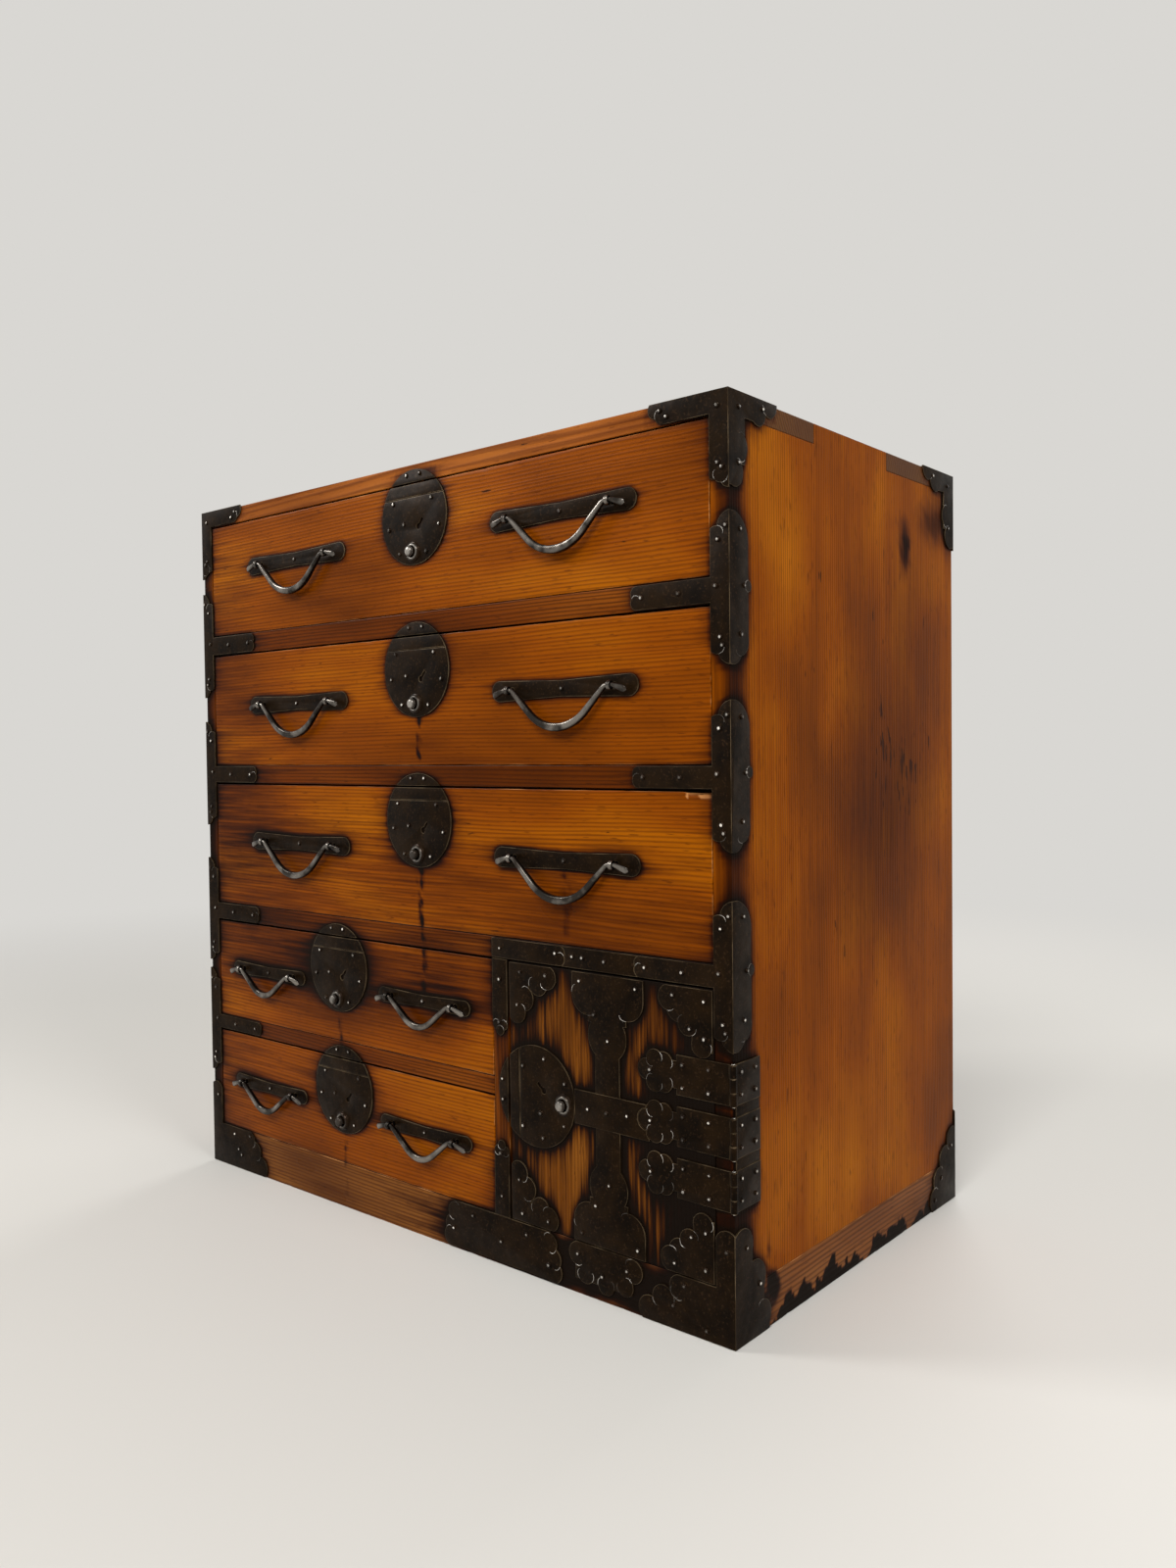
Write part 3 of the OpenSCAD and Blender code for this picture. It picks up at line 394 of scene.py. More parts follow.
def lacquered_wood(name, grain, dark, body, light, gloss=0.34, soot_gain=1.0, streaks=1.1, cloud=(3.5, 10),
                   contrast=1.0, heart=None, shine=0.05):
    """Softwood under aged lacquer, with its grain along one axis (0, 1 or 2)."""
    material, add, shader = new_material(name)
    place = add("TexCoord").outputs["Object"]
    pitted, worn, cut_end, soot = [add("Attribute", attribute_name=key).outputs["Fac"]
                                   for key in ("pitted", "worn", "cut_end", "soot")]

    def grain_noise(along, over, detail=2, roughness=0.5, moved=None):
        """Noise stretched along the grain: cells per metre along it and over it, and the place moved."""
        at = add("Mapping", {"Vector": place, "Scale": [along if k == grain else over for k in range(3)]})
        at = add("VectorMath", [at, moved], operation="ADD") if moved else at
        return add("TexNoise", {"Vector": at, "Scale": 1, "Detail": detail, "Roughness": roughness})

    bent = add("VectorMath", [grain_noise(2.5, 9, 1).outputs["Color"], (0.5, 0.5, 0.5)], operation="SUBTRACT")
    swayed = add("VectorMath", [bent, [RING_SWAY] * 3, place], operation="MULTIPLY_ADD")
    bent = add("VectorMath", [bent, 2.2], operation="SCALE")
    lines = grain_noise(4.5, GRAIN_LINES, roughness=0.75, moved=bent)
    bands = grain_noise(2, GRAIN_BANDS, moved=bent)
    clouds = grain_noise(*cloud)
    flecks = grain_noise(55, 700, 1)
    base = add("Math", [bands, 0.15], operation="MULTIPLY")
    base = add("Math", [clouds, 0.85, base], operation="MULTIPLY_ADD")

    # Year rings: the sine of the way from the heart, each ring's dark late wood broken by the fine lines
    spoke = add("VectorMath", [swayed, heart or HEARTS[grain]], operation="SUBTRACT")
    spoke = add("VectorMath", [spoke, [float(k != grain) for k in range(3)]], operation="MULTIPLY")
    reach = add("VectorMath", [spoke], operation="LENGTH")
    drift = add("Math", [grain_noise(2.5, 60), 12], operation="MULTIPLY")
    rings = add("Math", [reach, math.tau / RING_PITCH, drift], operation="MULTIPLY_ADD")
    rings = add("Math", [add("Math", [rings], operation="SINE"), 0.5, lines], operation="MULTIPLY_ADD")
    late_wood = add("MapRange", [rings, 0.34, 0.98, 0, 0.68 * contrast])
    fleck = add("MapRange", [flecks, 0.36, 0.29, 0, 0.6])

    # Worm tracks and old dents: short dark dashes along the grain, only where the attribute asks for them
    tracks = add("Math", [pitted, -0.2, grain_noise(34, 190)], operation="MULTIPLY_ADD")
    tracks = add("MapRange", [tracks, 0.27, 0.23, 0, 0.85])
    # Rubbed edges are paler: the lacquer is worn off and the wood shows
    worn = add("Math", [grain_noise(30, 160), 1.2, worn], operation="MULTIPLY_ADD")
    worn = add("MapRange", [worn, 1.02, 1.65, 0, 0.85])
    # The cut ends of a board are grey-brown, because end grain drinks dirt and oil
    cut_end = add("Math", [cut_end, 0.8], operation="MULTIPLY")
    # Soot, with the painted shade that shares its value: the halo breaks up along the grain, first brown and
    # then char
    soot = add("Math", [soot, soot_gain], operation="MULTIPLY")
    breakup = add("Math", [grain_noise(11, 260, 3), 0.5], operation="SUBTRACT")
    soot = add("Math", [breakup, streaks, soot], operation="MULTIPLY_ADD")
    brown = add("MapRange", [soot, 0.16, 0.95, 0, 0.9])
    black = add("MapRange", [soot, 0.55, 1.2, 0, 0.97])

    # Each of these lies over the ones before it
    tone = add("ValToRGB", [base], stops=[(0.26, dark), (0.5, body), (0.72, light)])
    for share, colour, blend in ((late_wood, dark, "MIX"), (fleck, dark, "MIX"), (tracks, CHAR, "MIX"),
                                 (worn, BARE, "MIX"), (cut_end, END_GRAIN, "MIX"), (brown, dark, "MIX"),
                                 (brown, SMOKE_AND_SHADE, "MULTIPLY"), (black, CHAR, "MIX")):
        tone = add("Mix", [share, tone, linear(colour)], data_type="RGBA", blend_type=blend)

    rough = add("MapRange", [clouds, 0.3, 0.7, gloss - 0.07, gloss + 0.1])
    relief = add("Math", [flecks, 0.35, rings], operation="MULTIPLY_ADD")
    fill(shader, {"Base Color": tone, "Roughness": add("Math", [black, 0.2, rough], operation="MULTIPLY_ADD"),
                  "Normal": add("Bump", {"Height": relief, "Strength": 0.35, "Distance": 0.22 * MM}),
                  "IOR": 1.5, "Specular IOR Level": shine})
    return material


drawer_wood = lacquered_wood("lacquered_softwood_drawers", 0, "#461c00", "#844000", "#a45c00", streaks=0.9,
                             contrast=0.72)
rail_wood = lacquered_wood("lacquered_softwood_rails", 0, "#331300", "#602a00", "#84460a")
top_wood = lacquered_wood("lacquered_softwood_top", 0, "#592806", "#94521a", "#b4722c", heart=(0, -1.6, 0.2))
base_wood = lacquered_wood("lacquered_softwood_base_rail", 0, "#44200a", "#7a4a1c", "#96622c")
upright_wood = lacquered_wood("lacquered_softwood_uprights", 2, "#2e1200", "#5e2a00", "#80480c")
door_wood = lacquered_wood("charred_softwood_door", 2, "#301300", "#6a3a08", "#8c5518", soot_gain=1.6,
                           streaks=2.0, contrast=0.65)
side_wood = lacquered_wood("lacquered_softwood_sides", 2, "#4a2000", "#864200", "#a8600c", cloud=(5, 8),
                           contrast=0.7, streaks=0.35, heart=(0, -1.6, 0), shine=0.03)
print("wood materials:", [m.name for m in bpy.data.materials if "wood" in m.name])

# %% [markdown]
# ## Drips and marks
#
# Oil has run down from the locks and handles. A drip is a thin upright stroke that wanders a little
# and breaks into drops, so it is added to the soot by a formula of the place.

# %% Drips
# Each drip: x and upper and lower z in millimetres from the front's lower left corner, half width, strength
DRIPS = (
    (387, 545, 491, 2.6, 1.5), (391, 540, 505, 1.6, 1.0), (388, 388, 302, 2.4, 1.4),
    (384, 384, 350, 1.4, 0.8), (390, 302, 248, 2.6, 0.9), (252, 222, 168, 2.6, 0.7), (257, 86, 10, 2.6, 0.7),
    (585, 392, 325, 3.0, 0.55), (590, 385, 340, 1.6, 0.35), (386, 690, 640, 2.0, 0.4))
ON_FACE = 1.5 * MM  # points this near to a face lie on it


def front_place(points):
    """x from the left edge and z from the floor, in mm, and 1 for points on the front, else 0."""
    return (points[:, 0] - LEFT_EDGE) / MM, points[:, 2] / MM, points[:, 1] < WOOD_FRONT + ON_FACE


def drips_on(points):
    """Sum over the drips of strength * exp(-(dx / width)^2) within the drip's height, broken into drops."""
    x, z, on_front = front_place(points)
    total = np.zeros(len(points))
    for place, top, bottom, width, strength in DRIPS:
        wander = 1.4 * np.sin(z / 9 + place) + 0.8 * np.sin(z / 3.7)
        beads = 0.5 + 0.7 * np.sin(z / 4.3 + 2 * place) * np.sin(z / 9.1)
        inside = np.clip((top - z) / 4, 0, 1) * np.clip((z - bottom) / 10, 0, 1)
        total += strength * beads * inside * np.exp(-((x - place - wander) / width) ** 2)
    return total * on_front


# %% Marks on the sides, and smoke with painted shade on the front
# Each mark: mm behind the front and mm above the floor, half sizes in both, strength
# Broad marks darken the middle and back of each side above its lower part; small ones darken single spots
SIDE_MARKS = (
    (8, 420, 30, 700, 0.45), (326, 710, 13, 30, 0.8), (395, 742, 42, 26, 0.6), (212, 620, 50, 200, 0.25),
    (340, 580, 120, 200, 0.42), (250, 400, 140, 150, 0.52), (30, 150, 8, 60, 0.3), (52, 62, 5, 24, 0.7),
    (60, 34, 10, 16, 1.6))
PITTED = ((275, 500, 24, 60, 1.0), (325, 480, 44, 66, 1.0), (375, 520, 20, 34, 0.8), (140, 660, 20, 14, 0.6))
# The same for the front: mm from its left edge and above the floor. They darken the left and lower drawers:
# mostly painted shade, partly darker wood
FRONT_SHADE_AND_SMOKE = (
    (40, 700, 90, 70, 0.3), (40, 560, 110, 75, 0.36), (60, 400, 150, 85, 0.62), (400, 375, 230, 60, 0.3),
    (190, 262, 230, 50, 0.66), (420, 270, 60, 60, 0.4), (230, 110, 240, 46, 0.14), (40, 110, 90, 60, 0.35),
    (700, 370, 120, 50, 0.22), (590, 22, 190, 22, 1.5), (716, 100, 46, 60, 0.45))
# The peeled dark strip along the foot of each side: from and to behind the front, its height, and its waves
FOOT_STRIP = (58, 388)
FOOT_STRIP_TALL = 11
FOOT_STRIP_WAVES = ((14, 52), (7, 17), (4, 7))


def bells(x, z, marks):
    """Each mark's strength with exp(-(dx / half)^2 - (dz / half)^2)."""
    for place, high, half_x, half_z, strength in marks:
        yield strength, np.exp(-((x - place) / half_x) ** 2 - ((z - high) / half_z) ** 2)


def wavy_height(points):
    """Height above the floor in mm, moved by a wave so that no mark has a straight outline."""
    return points[:, 2] / MM + 4 * ripple(points, 17 * MM, 72)


def side_marks(points, marks, strip=0):
    """Sum over the marks of strength * 1.3 (bell - 0.2) above 0, on wavy ground, and the peeled strip."""
    y = (points[:, 1] - WOOD_FRONT) / MM + 5 * ripple(points, 22 * MM, 71)
    z = wavy_height(points)
    total = sum(strength * 1.3 * np.clip(bell - 0.2, 0, 1) for strength, bell in bells(y, z, marks))
    if strip:
        top = FOOT_STRIP_TALL
        for tall, wide in FOOT_STRIP_WAVES:
            top = top + tall * ripple(points * (0, 1, 0), wide * MM, 73 + wide)
        inside = (y > FOOT_STRIP[0]) & (y < FOOT_STRIP[1])
        total += strip * inside * np.clip((top - points[:, 2] / MM) / 3, 0, 1)
    return total * (np.abs(points[:, 0]) > WOOD_SIDE - ON_FACE)


def all_soot(points, grain):
    """Soot from the iron, drips, marks on the sides with their peeled strip, and on the front darker patches,
    mostly painted shade.
    """
    x, _, on_front = front_place(points)
    front_shade_and_smoke = sum(strength * bell for strength, bell in bells(x, wavy_height(points), FRONT_SHADE_AND_SMOKE)) * on_front
    return soot_on(points, grain) + drips_on(points) + side_marks(points, SIDE_MARKS, strip=2.0) + front_shade_and_smoke

# %% [markdown]
# ## Drawer fronts, rails, post and door
#
# Each front is one thick board. Its top edge has the slot of the lock bolt, and the rail over it the
# mortise that the bolt enters.

# %% Make the boards of the front
FRONT_PITCH = (3.5 * MM, 6 * MM, 3.5 * MM)
BACK_PITCH = (8 * MM, 8 * MM, 6 * MM)
SIDE_PITCH = (8 * MM, 4 * MM, 4 * MM)
SLOT_SIDE = 0.1 * MM
BOLT_PLAY = 0.4 * MM
BOLT_SLOT_DEEP = 14 * MM
RAIL_MORTISE = 5.6 * MM
GAP_SHADE_REACH = 12  # how far back the painted shade in the gaps reaches, in mm


def bolt_limits(node, *axes):
    """The limits of a bolt's slot along two axes in metres, from the bolt's own box."""
    low, high = span(node)
    return [(low[k] - BOLT_PLAY, high[k] + BOLT_PLAY) for k in axes]


def edge_wear(points, way, depth, seed, amount=0.5 * MM):
    """Dents: near an edge the noise's peaks push the surface in; elsewhere a faint plane's wave stays."""
    near = np.exp(-(depth / (3 * MM)) ** 2)
    peaks = np.clip(ripple(points, 24 * MM, seed) + 0.4 * ripple(points, 7 * MM, seed + 1) - 0.45, 0, 1)
    wave = 0.09 * MM * ripple(points, 60 * MM, seed + 2)
    push = amount * near * peaks + np.where(near < 0.5, wave, 0)
    arris = np.exp(-(depth / (0.8 * MM)) ** 2)
    rubbed = 0.4 + 0.6 * np.clip(ripple(points, 40 * MM, seed + 3) + 0.5, 0, 1)
    return points - way * push[:, None], arris * rubbed


def plank(name, box, material, grain, body, replaced, seed, pitch=FRONT_PITCH, cuts=(), chip=None, wear=0.85):
    """One lacquered board with its wear and its mortises. Soot, and painted shade in its gaps, darken it.

    box is its lowest and highest corner. Each cut is the axis and side of an edge face, the limits
    along the other two axes, and a depth. A chip is its middle and its half sizes.
    """
    low, high = box
    extra = [[], [], []]
    for axis, _, limits, _ in cuts:
        for k, (start, end) in zip(across(axis), limits):
            extra[k] += [start - SLOT_SIDE, start, end, end + SLOT_SIDE]
    points, faces, way, depth = board_surface(low, high, pitch, 1.0 * MM, extra)
    flat = points
    points, worn = edge_wear(points, way, depth, seed)
    worn *= wear
    if chip:
        reach = np.linalg.norm((flat - chip[0]) / chip[1], axis=1) + 0.35 * ripple(flat, 9 * MM, seed + 9)
        dent = np.clip(1 - reach, 0, 1) ** 0.5
        points = points - way * (2.0 * MM * dent)[:, None]
        worn = np.where(dent > 0.12, 1.1, worn)
    for axis, side, limits, deep in cuts:
        sink(points, box[side > 0][axis], axis, side, limits, deep)
    # Painted shade in the gaps: the upper and lower faces are dark for a few millimetres behind the front,
    # where shadow falls
    behind = (flat[:, 1] - low[1]) / MM
    painted_gap_shade = (np.minimum(flat[:, 2] - low[2], high[2] - flat[:, 2]) < 0.4 * MM) * np.clip(behind / 1.2, 0, 1)
    soot = all_soot(flat, grain) + 1.1 * painted_gap_shade * np.exp(-behind / GAP_SHADE_REACH)
    return make_object(name, points, [faces], material, body, replaced, soot=soot, worn=worn)


for n in DRAWERS:
    front = span(f"drawer_{n}_front")
    chipped = (np.array([front[1][0] - 4 * MM, WOOD_FRONT, front[1][2]]), np.array([27, 6, 6.5]) * MM)
    plank(f"front_board_{n}", front, drawer_wood, 0, f"drawer_{n}", [f"drawer_{n}_front"], 10 * n,
          cuts=[(2, 1, bolt_limits(f"drawer_{n}_bolt", 0, 1), BOLT_SLOT_DEEP)],
          chip=chipped if n == 3 else None)

# %% Rails, post and base
BACK_RAIL = 20 * MM  # thickness of the base's back rail
rails_low, rails_high = span("front_rails")
post_low, _ = span("door_post")
for k in range(4):
    foot = span(f"drawer_{k + 2}_front")[1][2] + 1.6 * MM
    head = span(f"drawer_{k + 1}_front")[0][2] - 0.4 * MM
    right = rails_high[0] if k < 3 else post_low[0]
    plank(f"rail_{k + 1}", (np.array([*rails_low[:2], foot]), np.array([right, rails_high[1], head])),
          rail_wood, 0, "case", [] if k else ["front_rails"], 100 + 10 * k, wear=0.4,
          cuts=[(2, -1, bolt_limits(f"drawer_{k + 2}_bolt", 0, 1), RAIL_MORTISE)])
inner_low, inner_high, base_top = rails_low[0], rails_high[0], post_low[2]
plank("base_rail_front",
      (np.array([inner_low, wood_low[1], 0]), np.array([inner_high, rails_high[1], base_top])),
      base_wood, 0, "case", ["base_rails"], 150)
plank("base_rail_back",
      (np.array([inner_low, wood_high[1] - BACK_RAIL, 0]), np.array([inner_high, wood_high[1], base_top])),
      rail_wood, 0, "case", [], 160, pitch=BACK_PITCH)
side_base_wood = lacquered_wood("lacquered_softwood_base", 1, "#44200a", "#7c4a22", "#9c6a3a")
side_base_top = span("side_board_left")[0][2]
for side, name in ((-1, "left"), (1, "right")):
    x = sorted((side * inner_high, side * WOOD_SIDE))
    plank(f"base_rail_{name}",
          (np.array([x[0], wood_low[1], 0]), np.array([x[1], wood_high[1], side_base_top])),
          side_base_wood, 1, "case", [], 170 + side, pitch=SIDE_PITCH)
door_bolt = bolt_limits("door_bolt", 1, 2)
plank("post", span("door_post"), upright_wood, 2, "case", ["door_post"], 190,
      cuts=[(0, 1, door_bolt, RAIL_MORTISE + 2 * MM)])
plank("door_panel", span("door_board"), door_wood, 2, "door", ["door_board"], 200,
      cuts=[(0, -1, door_bolt, BOLT_SLOT_DEEP)])
print("boards so far:", len([o for o in bpy.data.objects if "worn" in getattr(o.data, "attributes", {})]))

# %% [markdown]
# ## Boards that keep their joints
#
# The side boards and the top board meet in finger joints, and the boards inside have grooves. Their
# CAD shape is right, so a merged copy of it is taken, its edges are eased by a small bevel, and planes
# cut it into a grid fine enough to carry the soot.

# %% Eased copies of CAD boards
def merged_copy(points, triangles):
    """A bmesh of welded triangles, its holes filled and flat neighbours dissolved into whole faces."""
    bm = bmesh.new()
    mesh = bpy.data.meshes.new("merged")
    mesh.from_pydata(points.tolist(), [], triangles.tolist())
    bm.from_mesh(mesh)
    bpy.data.meshes.remove(mesh)
    open_edges = [e for e in bm.edges if e.is_boundary]
    if open_edges:
        bmesh.ops.holes_fill(bm, edges=open_edges, sides=0)
        bmesh.ops.recalc_face_normals(bm, faces=bm.faces)
    bmesh.ops.dissolve_limit(bm, angle_limit=math.radians(0.5), verts=bm.verts, edges=bm.edges)
    return bm


def sharp_edges(bm, angle=35):
    """Edges whose two faces turn outwards by more than the angle."""
    return [e for e in bm.edges if len(e.link_faces) == 2 and e.is_convex
            and e.calc_face_angle(0) > math.radians(angle)]


def mesh_of(name, bm):
    """The bmesh as a new mesh."""
    mesh = bpy.data.meshes.new(name)
    bm.to_mesh(mesh)
    bm.free()
    return mesh


THIN_BOARD = 30 * MM  # a board is cut into its grid only along the ways in which it is longer than this
PLANK_TONES = np.array([0.1, 0.34, 0.0, 0.24, 0.14, 0.3, 0.05, 0.2])  # soot added to each back plank


def eased_board(name, node, material, grain, body, width, pitch=None, ends_show=False, planks=0):
    """A merged copy of a CAD board with eased edges, cut by planes every pitch metres where it is given.

    Where it stands for several planks, each has its own tone, and dirt darkens the seams.
    """
    bm = merged_copy(*mesh_arrays(node))
    bmesh.ops.bevel(bm, geom=sharp_edges(bm), offset=width, segments=2, profile=0.5, affect="EDGES")
    low, high = span(node)
    for axis in np.nonzero(high - low >= THIN_BOARD)[0] if pitch else ():
        normal = np.eye(3)[axis]
        for place in np.arange(low[axis] + pitch, high[axis], pitch):
            bmesh.ops.bisect_plane(bm, geom=bm.verts[:] + bm.edges[:] + bm.faces[:], dist=1e-6,
                                   plane_co=place * normal, plane_no=normal)
    bmesh.ops.triangulate(bm, faces=[f for f in bm.faces if len(f.verts) > 4])
    mesh = mesh_of(name, bm)
    points = read(mesh.vertices, "co")
    ends = np.minimum(points[:, grain] - low[grain], high[grain] - points[:, grain]) < 0.3 * MM
    soot = all_soot(points, grain)
    if planks:
        place = (points[:, 2] - low[2]) / (high[2] - low[2]) * planks
        seam = np.abs(place - np.round(place)) * (high[2] - low[2]) / planks
        soot += PLANK_TONES[np.clip(place, 0, planks - 1).astype(int)] + 1.2 * (seam < 0.6 * MM)
    return place_mesh(name, mesh, material, body, [node], soot=soot, cut_end=ends & ends_show,
                      pitted=side_marks(points, PITTED))


BARE_WOODS = ("#7d5a37", "#b08c5e", "#cdb086")
bare_wood = lacquered_wood("bare_softwood_inside", 0, *BARE_WOODS, gloss=0.6, contrast=0.6)
bare_deep_wood = lacquered_wood("bare_softwood_drawer_boxes", 1, *BARE_WOODS, gloss=0.6, contrast=0.6)
back_wood = lacquered_wood("bare_softwood_back", 0, "#4c3320", "#7d5c3c", "#9c7b55", gloss=0.62)
for side in ("left", "right"):
    eased_board(f"side_{side}", f"side_board_{side}", side_wood, 2, "case", 0.8 * MM, 6 * MM, True)
eased_board("top", "top_board", top_wood, 0, "case", 0.8 * MM, 7 * MM, True)
eased_board("back", "back_boards", back_wood, 0, "case", 0.9 * MM, 12 * MM, planks=6)
for node in ("bottom_board", "dust_boards", "safe_shelf", "stops"):
    eased_board(node.replace("_board", "") + "_inside", node, bare_wood, 0, "case", 0.5 * MM)
eased_board("partition_inside", "partition", bare_deep_wood, 1, "case", 0.5 * MM)
for n in DRAWERS:
    eased_board(f"box_{n}", f"drawer_{n}_box", bare_deep_wood, 1, f"drawer_{n}", 0.6 * MM)

# %% [markdown]
# ## Forged iron
#
# The plates are sheet iron, cut with a chisel, hammered flat and burnt black with oil. The black is
# satin, with faint rust and small hammer marks, and it has been rubbed off along the edges, where
# the bare metal shows as a thin bright line. A bevel gives that line a surface of its own, and a value
# on its faces tells the material where it is.

# %% Iron materials
RUST = "#3e2c1c"


def forged_iron(name, black, brown, rubbed, gloss, metal, hammer=1.0, rubbing=0.8):
    """Sheet iron burnt black: hammer marks about 9 mm across, rust specks of 2 mm, rubbed edges."""
    material, add, shader = new_material(name)
    place = add("TexCoord").outputs["Object"]
    clouds = add("TexNoise", {"Vector": place, "Scale": 38, "Detail": 4, "Roughness": 0.6})
    specks = add("TexNoise", {"Vector": place, "Scale": 420, "Detail": 2, "Roughness": 0.6})
    patches = add("TexNoise", {"Vector": place, "Scale": 42, "Detail": 3})
    marks = add("TexVoronoi", {"Vector": place, "Scale": 110}, feature="SMOOTH_F1")
    edge = add("Attribute", attribute_name="edge").outputs["Fac"]
    edge = add("Math", [edge, add("MapRange", [patches, 0.42, 0.6, 0.1, rubbing])], operation="MULTIPLY")
    tone = add("ValToRGB", [clouds], stops=[(0.36, black), (0.66, brown)])
    for share, colour in ((add("MapRange", [specks, 0.58, 0.7, 0, 0.4]), RUST), (edge, rubbed)):
        tone = add("Mix", [share, tone, linear(colour)], data_type="RGBA")
    relief = add("Math", [specks, 0.22, marks], operation="MULTIPLY_ADD")
    fill(shader, {"Base Color": tone, "Metallic": metal, "Specular IOR Level": 0.06,
                  "Roughness": add("MapRange", [clouds, 0.3, 0.7, gloss + 0.1, gloss - 0.08]),
                  "Normal": add("Bump", {"Height": relief, "Strength": 0.45 * hammer, "Distance": 0.6 * MM})})
    return material


plate_iron = forged_iron("burnt_sheet_iron", "#0a0400", "#1d1104", "#7a684f", 0.44, 0.25, rubbing=0.48)
# Its bright colour is rubbed metal, and on the bails also a painted highlight
rod_iron = forged_iron("rubbed_and_glinting_iron_rod", "#0c0906", "#201a15", "#bcb4aa", 0.22, 0.8, hammer=0.4)
# Its bright colour is rubbed metal on curls, knobs and pins, and a painted highlight on each nail's tip
nail_iron = forged_iron("rubbed_and_glinting_nail_iron", "#120c07", "#251a10", "#f2ebe0", 0.24, 0.5, hammer=0.3,
                        rubbing=1.0)
print("iron materials:", plate_iron.name, rod_iron.name, nail_iron.name)

# %% [markdown]
# ## Plates, with their nails taken out
#
# In the CAD, nail heads are small solids on the plates. They are found as the small islands of each
# mesh, and made again as slightly uneven domes, because hand-made nails differ. What is left of the
# mesh is the plate itself, which gets its rubbed bevel.

# %% Islands of a mesh
def islands(count, triangles):
    """The island of each point: every point takes the lowest number of its neighbours until none changes."""
    pairs = np.concatenate([triangles[:, :2], triangles[:, 1:]])
    label = np.arange(count)
    while True:
        lowest = np.minimum(label[pairs[:, 0]], label[pairs[:, 1]])
        new = label.copy()
        np.minimum.at(new, pairs[:, 0], lowest)
        np.minimum.at(new, pairs[:, 1], lowest)
        new = new[new]
        if (new == label).all():
            return label
        label = new


def split_islands(points, triangles):
    """Each island's triangles with its lowest and highest corner."""
    label = islands(len(points), triangles)[triangles[:, 0]]
    found = []
    for number in np.unique(label):
        own = triangles[label == number]
        corners = points[own.reshape(-1)]
        found.append((own, corners.min(0), corners.max(0)))
    return found


def is_nail(low, high):
    """A nail head is a low dome about 5 mm across."""
    size = np.sort(high - low) / MM
    return size[0] < 1.8 and 4 < size[1] < 6 and 4 < size[2] < 6


# Outer faces that carry nails, out from the wood: the plates and the thicker bar across the door
NAIL_LEVELS = (PLATE_THICK, 2.2 * MM)


def without_domes(points, triangles):
    """The nail heads that are fused to front plates, as islands, and the triangles without them.

    A head's triangles lie wholly at or above the plate's face, and at least one corner is above it.
    """
    height = (WOOD_FRONT - points[:, 1])[triangles]
    found, keep = [], np.ones(len(triangles), dtype=bool)
    for level in NAIL_LEVELS:
        above = np.nonzero((height > level - 0.02 * MM).all(1) & (height > level + 0.05 * MM).any(1))[0]
        label = islands(len(points), triangles[above])[triangles[above][:, 0]]
        for number in np.unique(label):
            own = above[label == number]
            place = points[triangles[own].reshape(-1)]
            if is_nail(place.min(0), place.max(0)):
                found.append((triangles[own], place.min(0), place.max(0)))
                keep[own] = False
    return found, triangles[keep]


# %% Nail heads
DOME_RINGS = ((1.0, 0.0), (0.93, 0.38), (0.7, 0.76), (0.5, 0.9), (0.36, 0.96))
DOME_SIDES = 10


def nail_heads(centres, outs, r, h, seed):
    """Domes: rings of radius a and height b from the profile, times each nail's own size and lean.

    Also gives each point's value edge, which paints a bright highlight on the tip.
    """
    draw = np.random.default_rng(seed)
    turn = np.linspace(0, 2 * np.pi, DOME_SIDES, endpoint=False)
    ring = np.stack([np.cos(turn), np.sin(turn)], -1)
    unit = [np.concatenate([a * ring, np.full((DOME_SIDES, 1), b)], axis=1) for a, b in DOME_RINGS]
    unit = np.concatenate(unit + [np.array([[0, 0, 1.0]])])
    count = len(centres)
    size = r * draw.uniform(0.9, 1.12, (count, 1)) * (1 + draw.uniform(-0.07, 0.07, (count, 2)))
    lean = draw.uniform(-0.12, 0.12, (count, 2))
    height = h * draw.uniform(0.85, 1.15, count)
    flat = unit[None, :, :2] * size[:, None, :]
    up = unit[None, :, 2] * height[:, None] + (flat * lean[:, None, :]).sum(-1) * (unit[None, :, 2] > 0)
    first = outs[:, [1, 2, 0]]
    second = np.cross(outs, first)
    points = (centres[:, None, :] + flat[..., :1] * first[:, None, :] + flat[..., 1:] * second[:, None, :]
              + up[..., None] * outs[:, None, :])
    top = len(DOME_RINGS) * DOME_SIDES
    index = np.arange(top).reshape(-1, DOME_SIDES)
    quads = grid_quads(index, closed=True)[:, TURNED_OVER]
    cap = np.stack([index[-1], np.roll(index[-1], -1), np.full(DOME_SIDES, top)], -1)
    shift = (top + 1) * np.arange(count)[:, None, None]
    # A bright spot on every head's tip: a painted highlight
    tip = np.zeros((count, top + 1))
    tip[:, index[-1, 0]:] = draw.uniform(0.4, 1.1, (count, 1))
    faces = [(quads + shift).reshape(-1, 4), (cap + shift).reshape(-1, 3), index[0, ::-1] + shift[:, 0]]
    return points.reshape(-1, 3), faces, tip.reshape(-1)


def outward(low, high):
    """Which way a nail's thin side faces, as a unit row: its thinnest axis, away from the middle."""
    axis = int(np.argmin(high - low))
    return np.eye(3)[axis] * math.copysign(1, (low + high)[axis])


def place_nails(name, found, body, replaced, seed):
    """One mesh of all nail heads in the list of islands."""
    outs = np.array([outward(low, high) for _, low, high in found])
    centres = np.array([(low + high) / 2 for _, low, high in found])
    half = np.array([((high - low) * np.abs(out)).sum() / 2 for (_, low, high), out in zip(found, outs)])
    centres -= outs * half[:, None]
    r = np.median([np.sort(high - low)[1] for _, low, high in found]) / 2
    points, faces, tip = nail_heads(centres, outs, r, 2 * np.median(half), seed)
    return make_object(name, points, faces, nail_iron, body, replaced, edge=tip)


# %% Plates
FOLD_RUB = 2.6  # the fold at the chest's corner is rubbed most
FOLD_OUT = 0.8 * MM


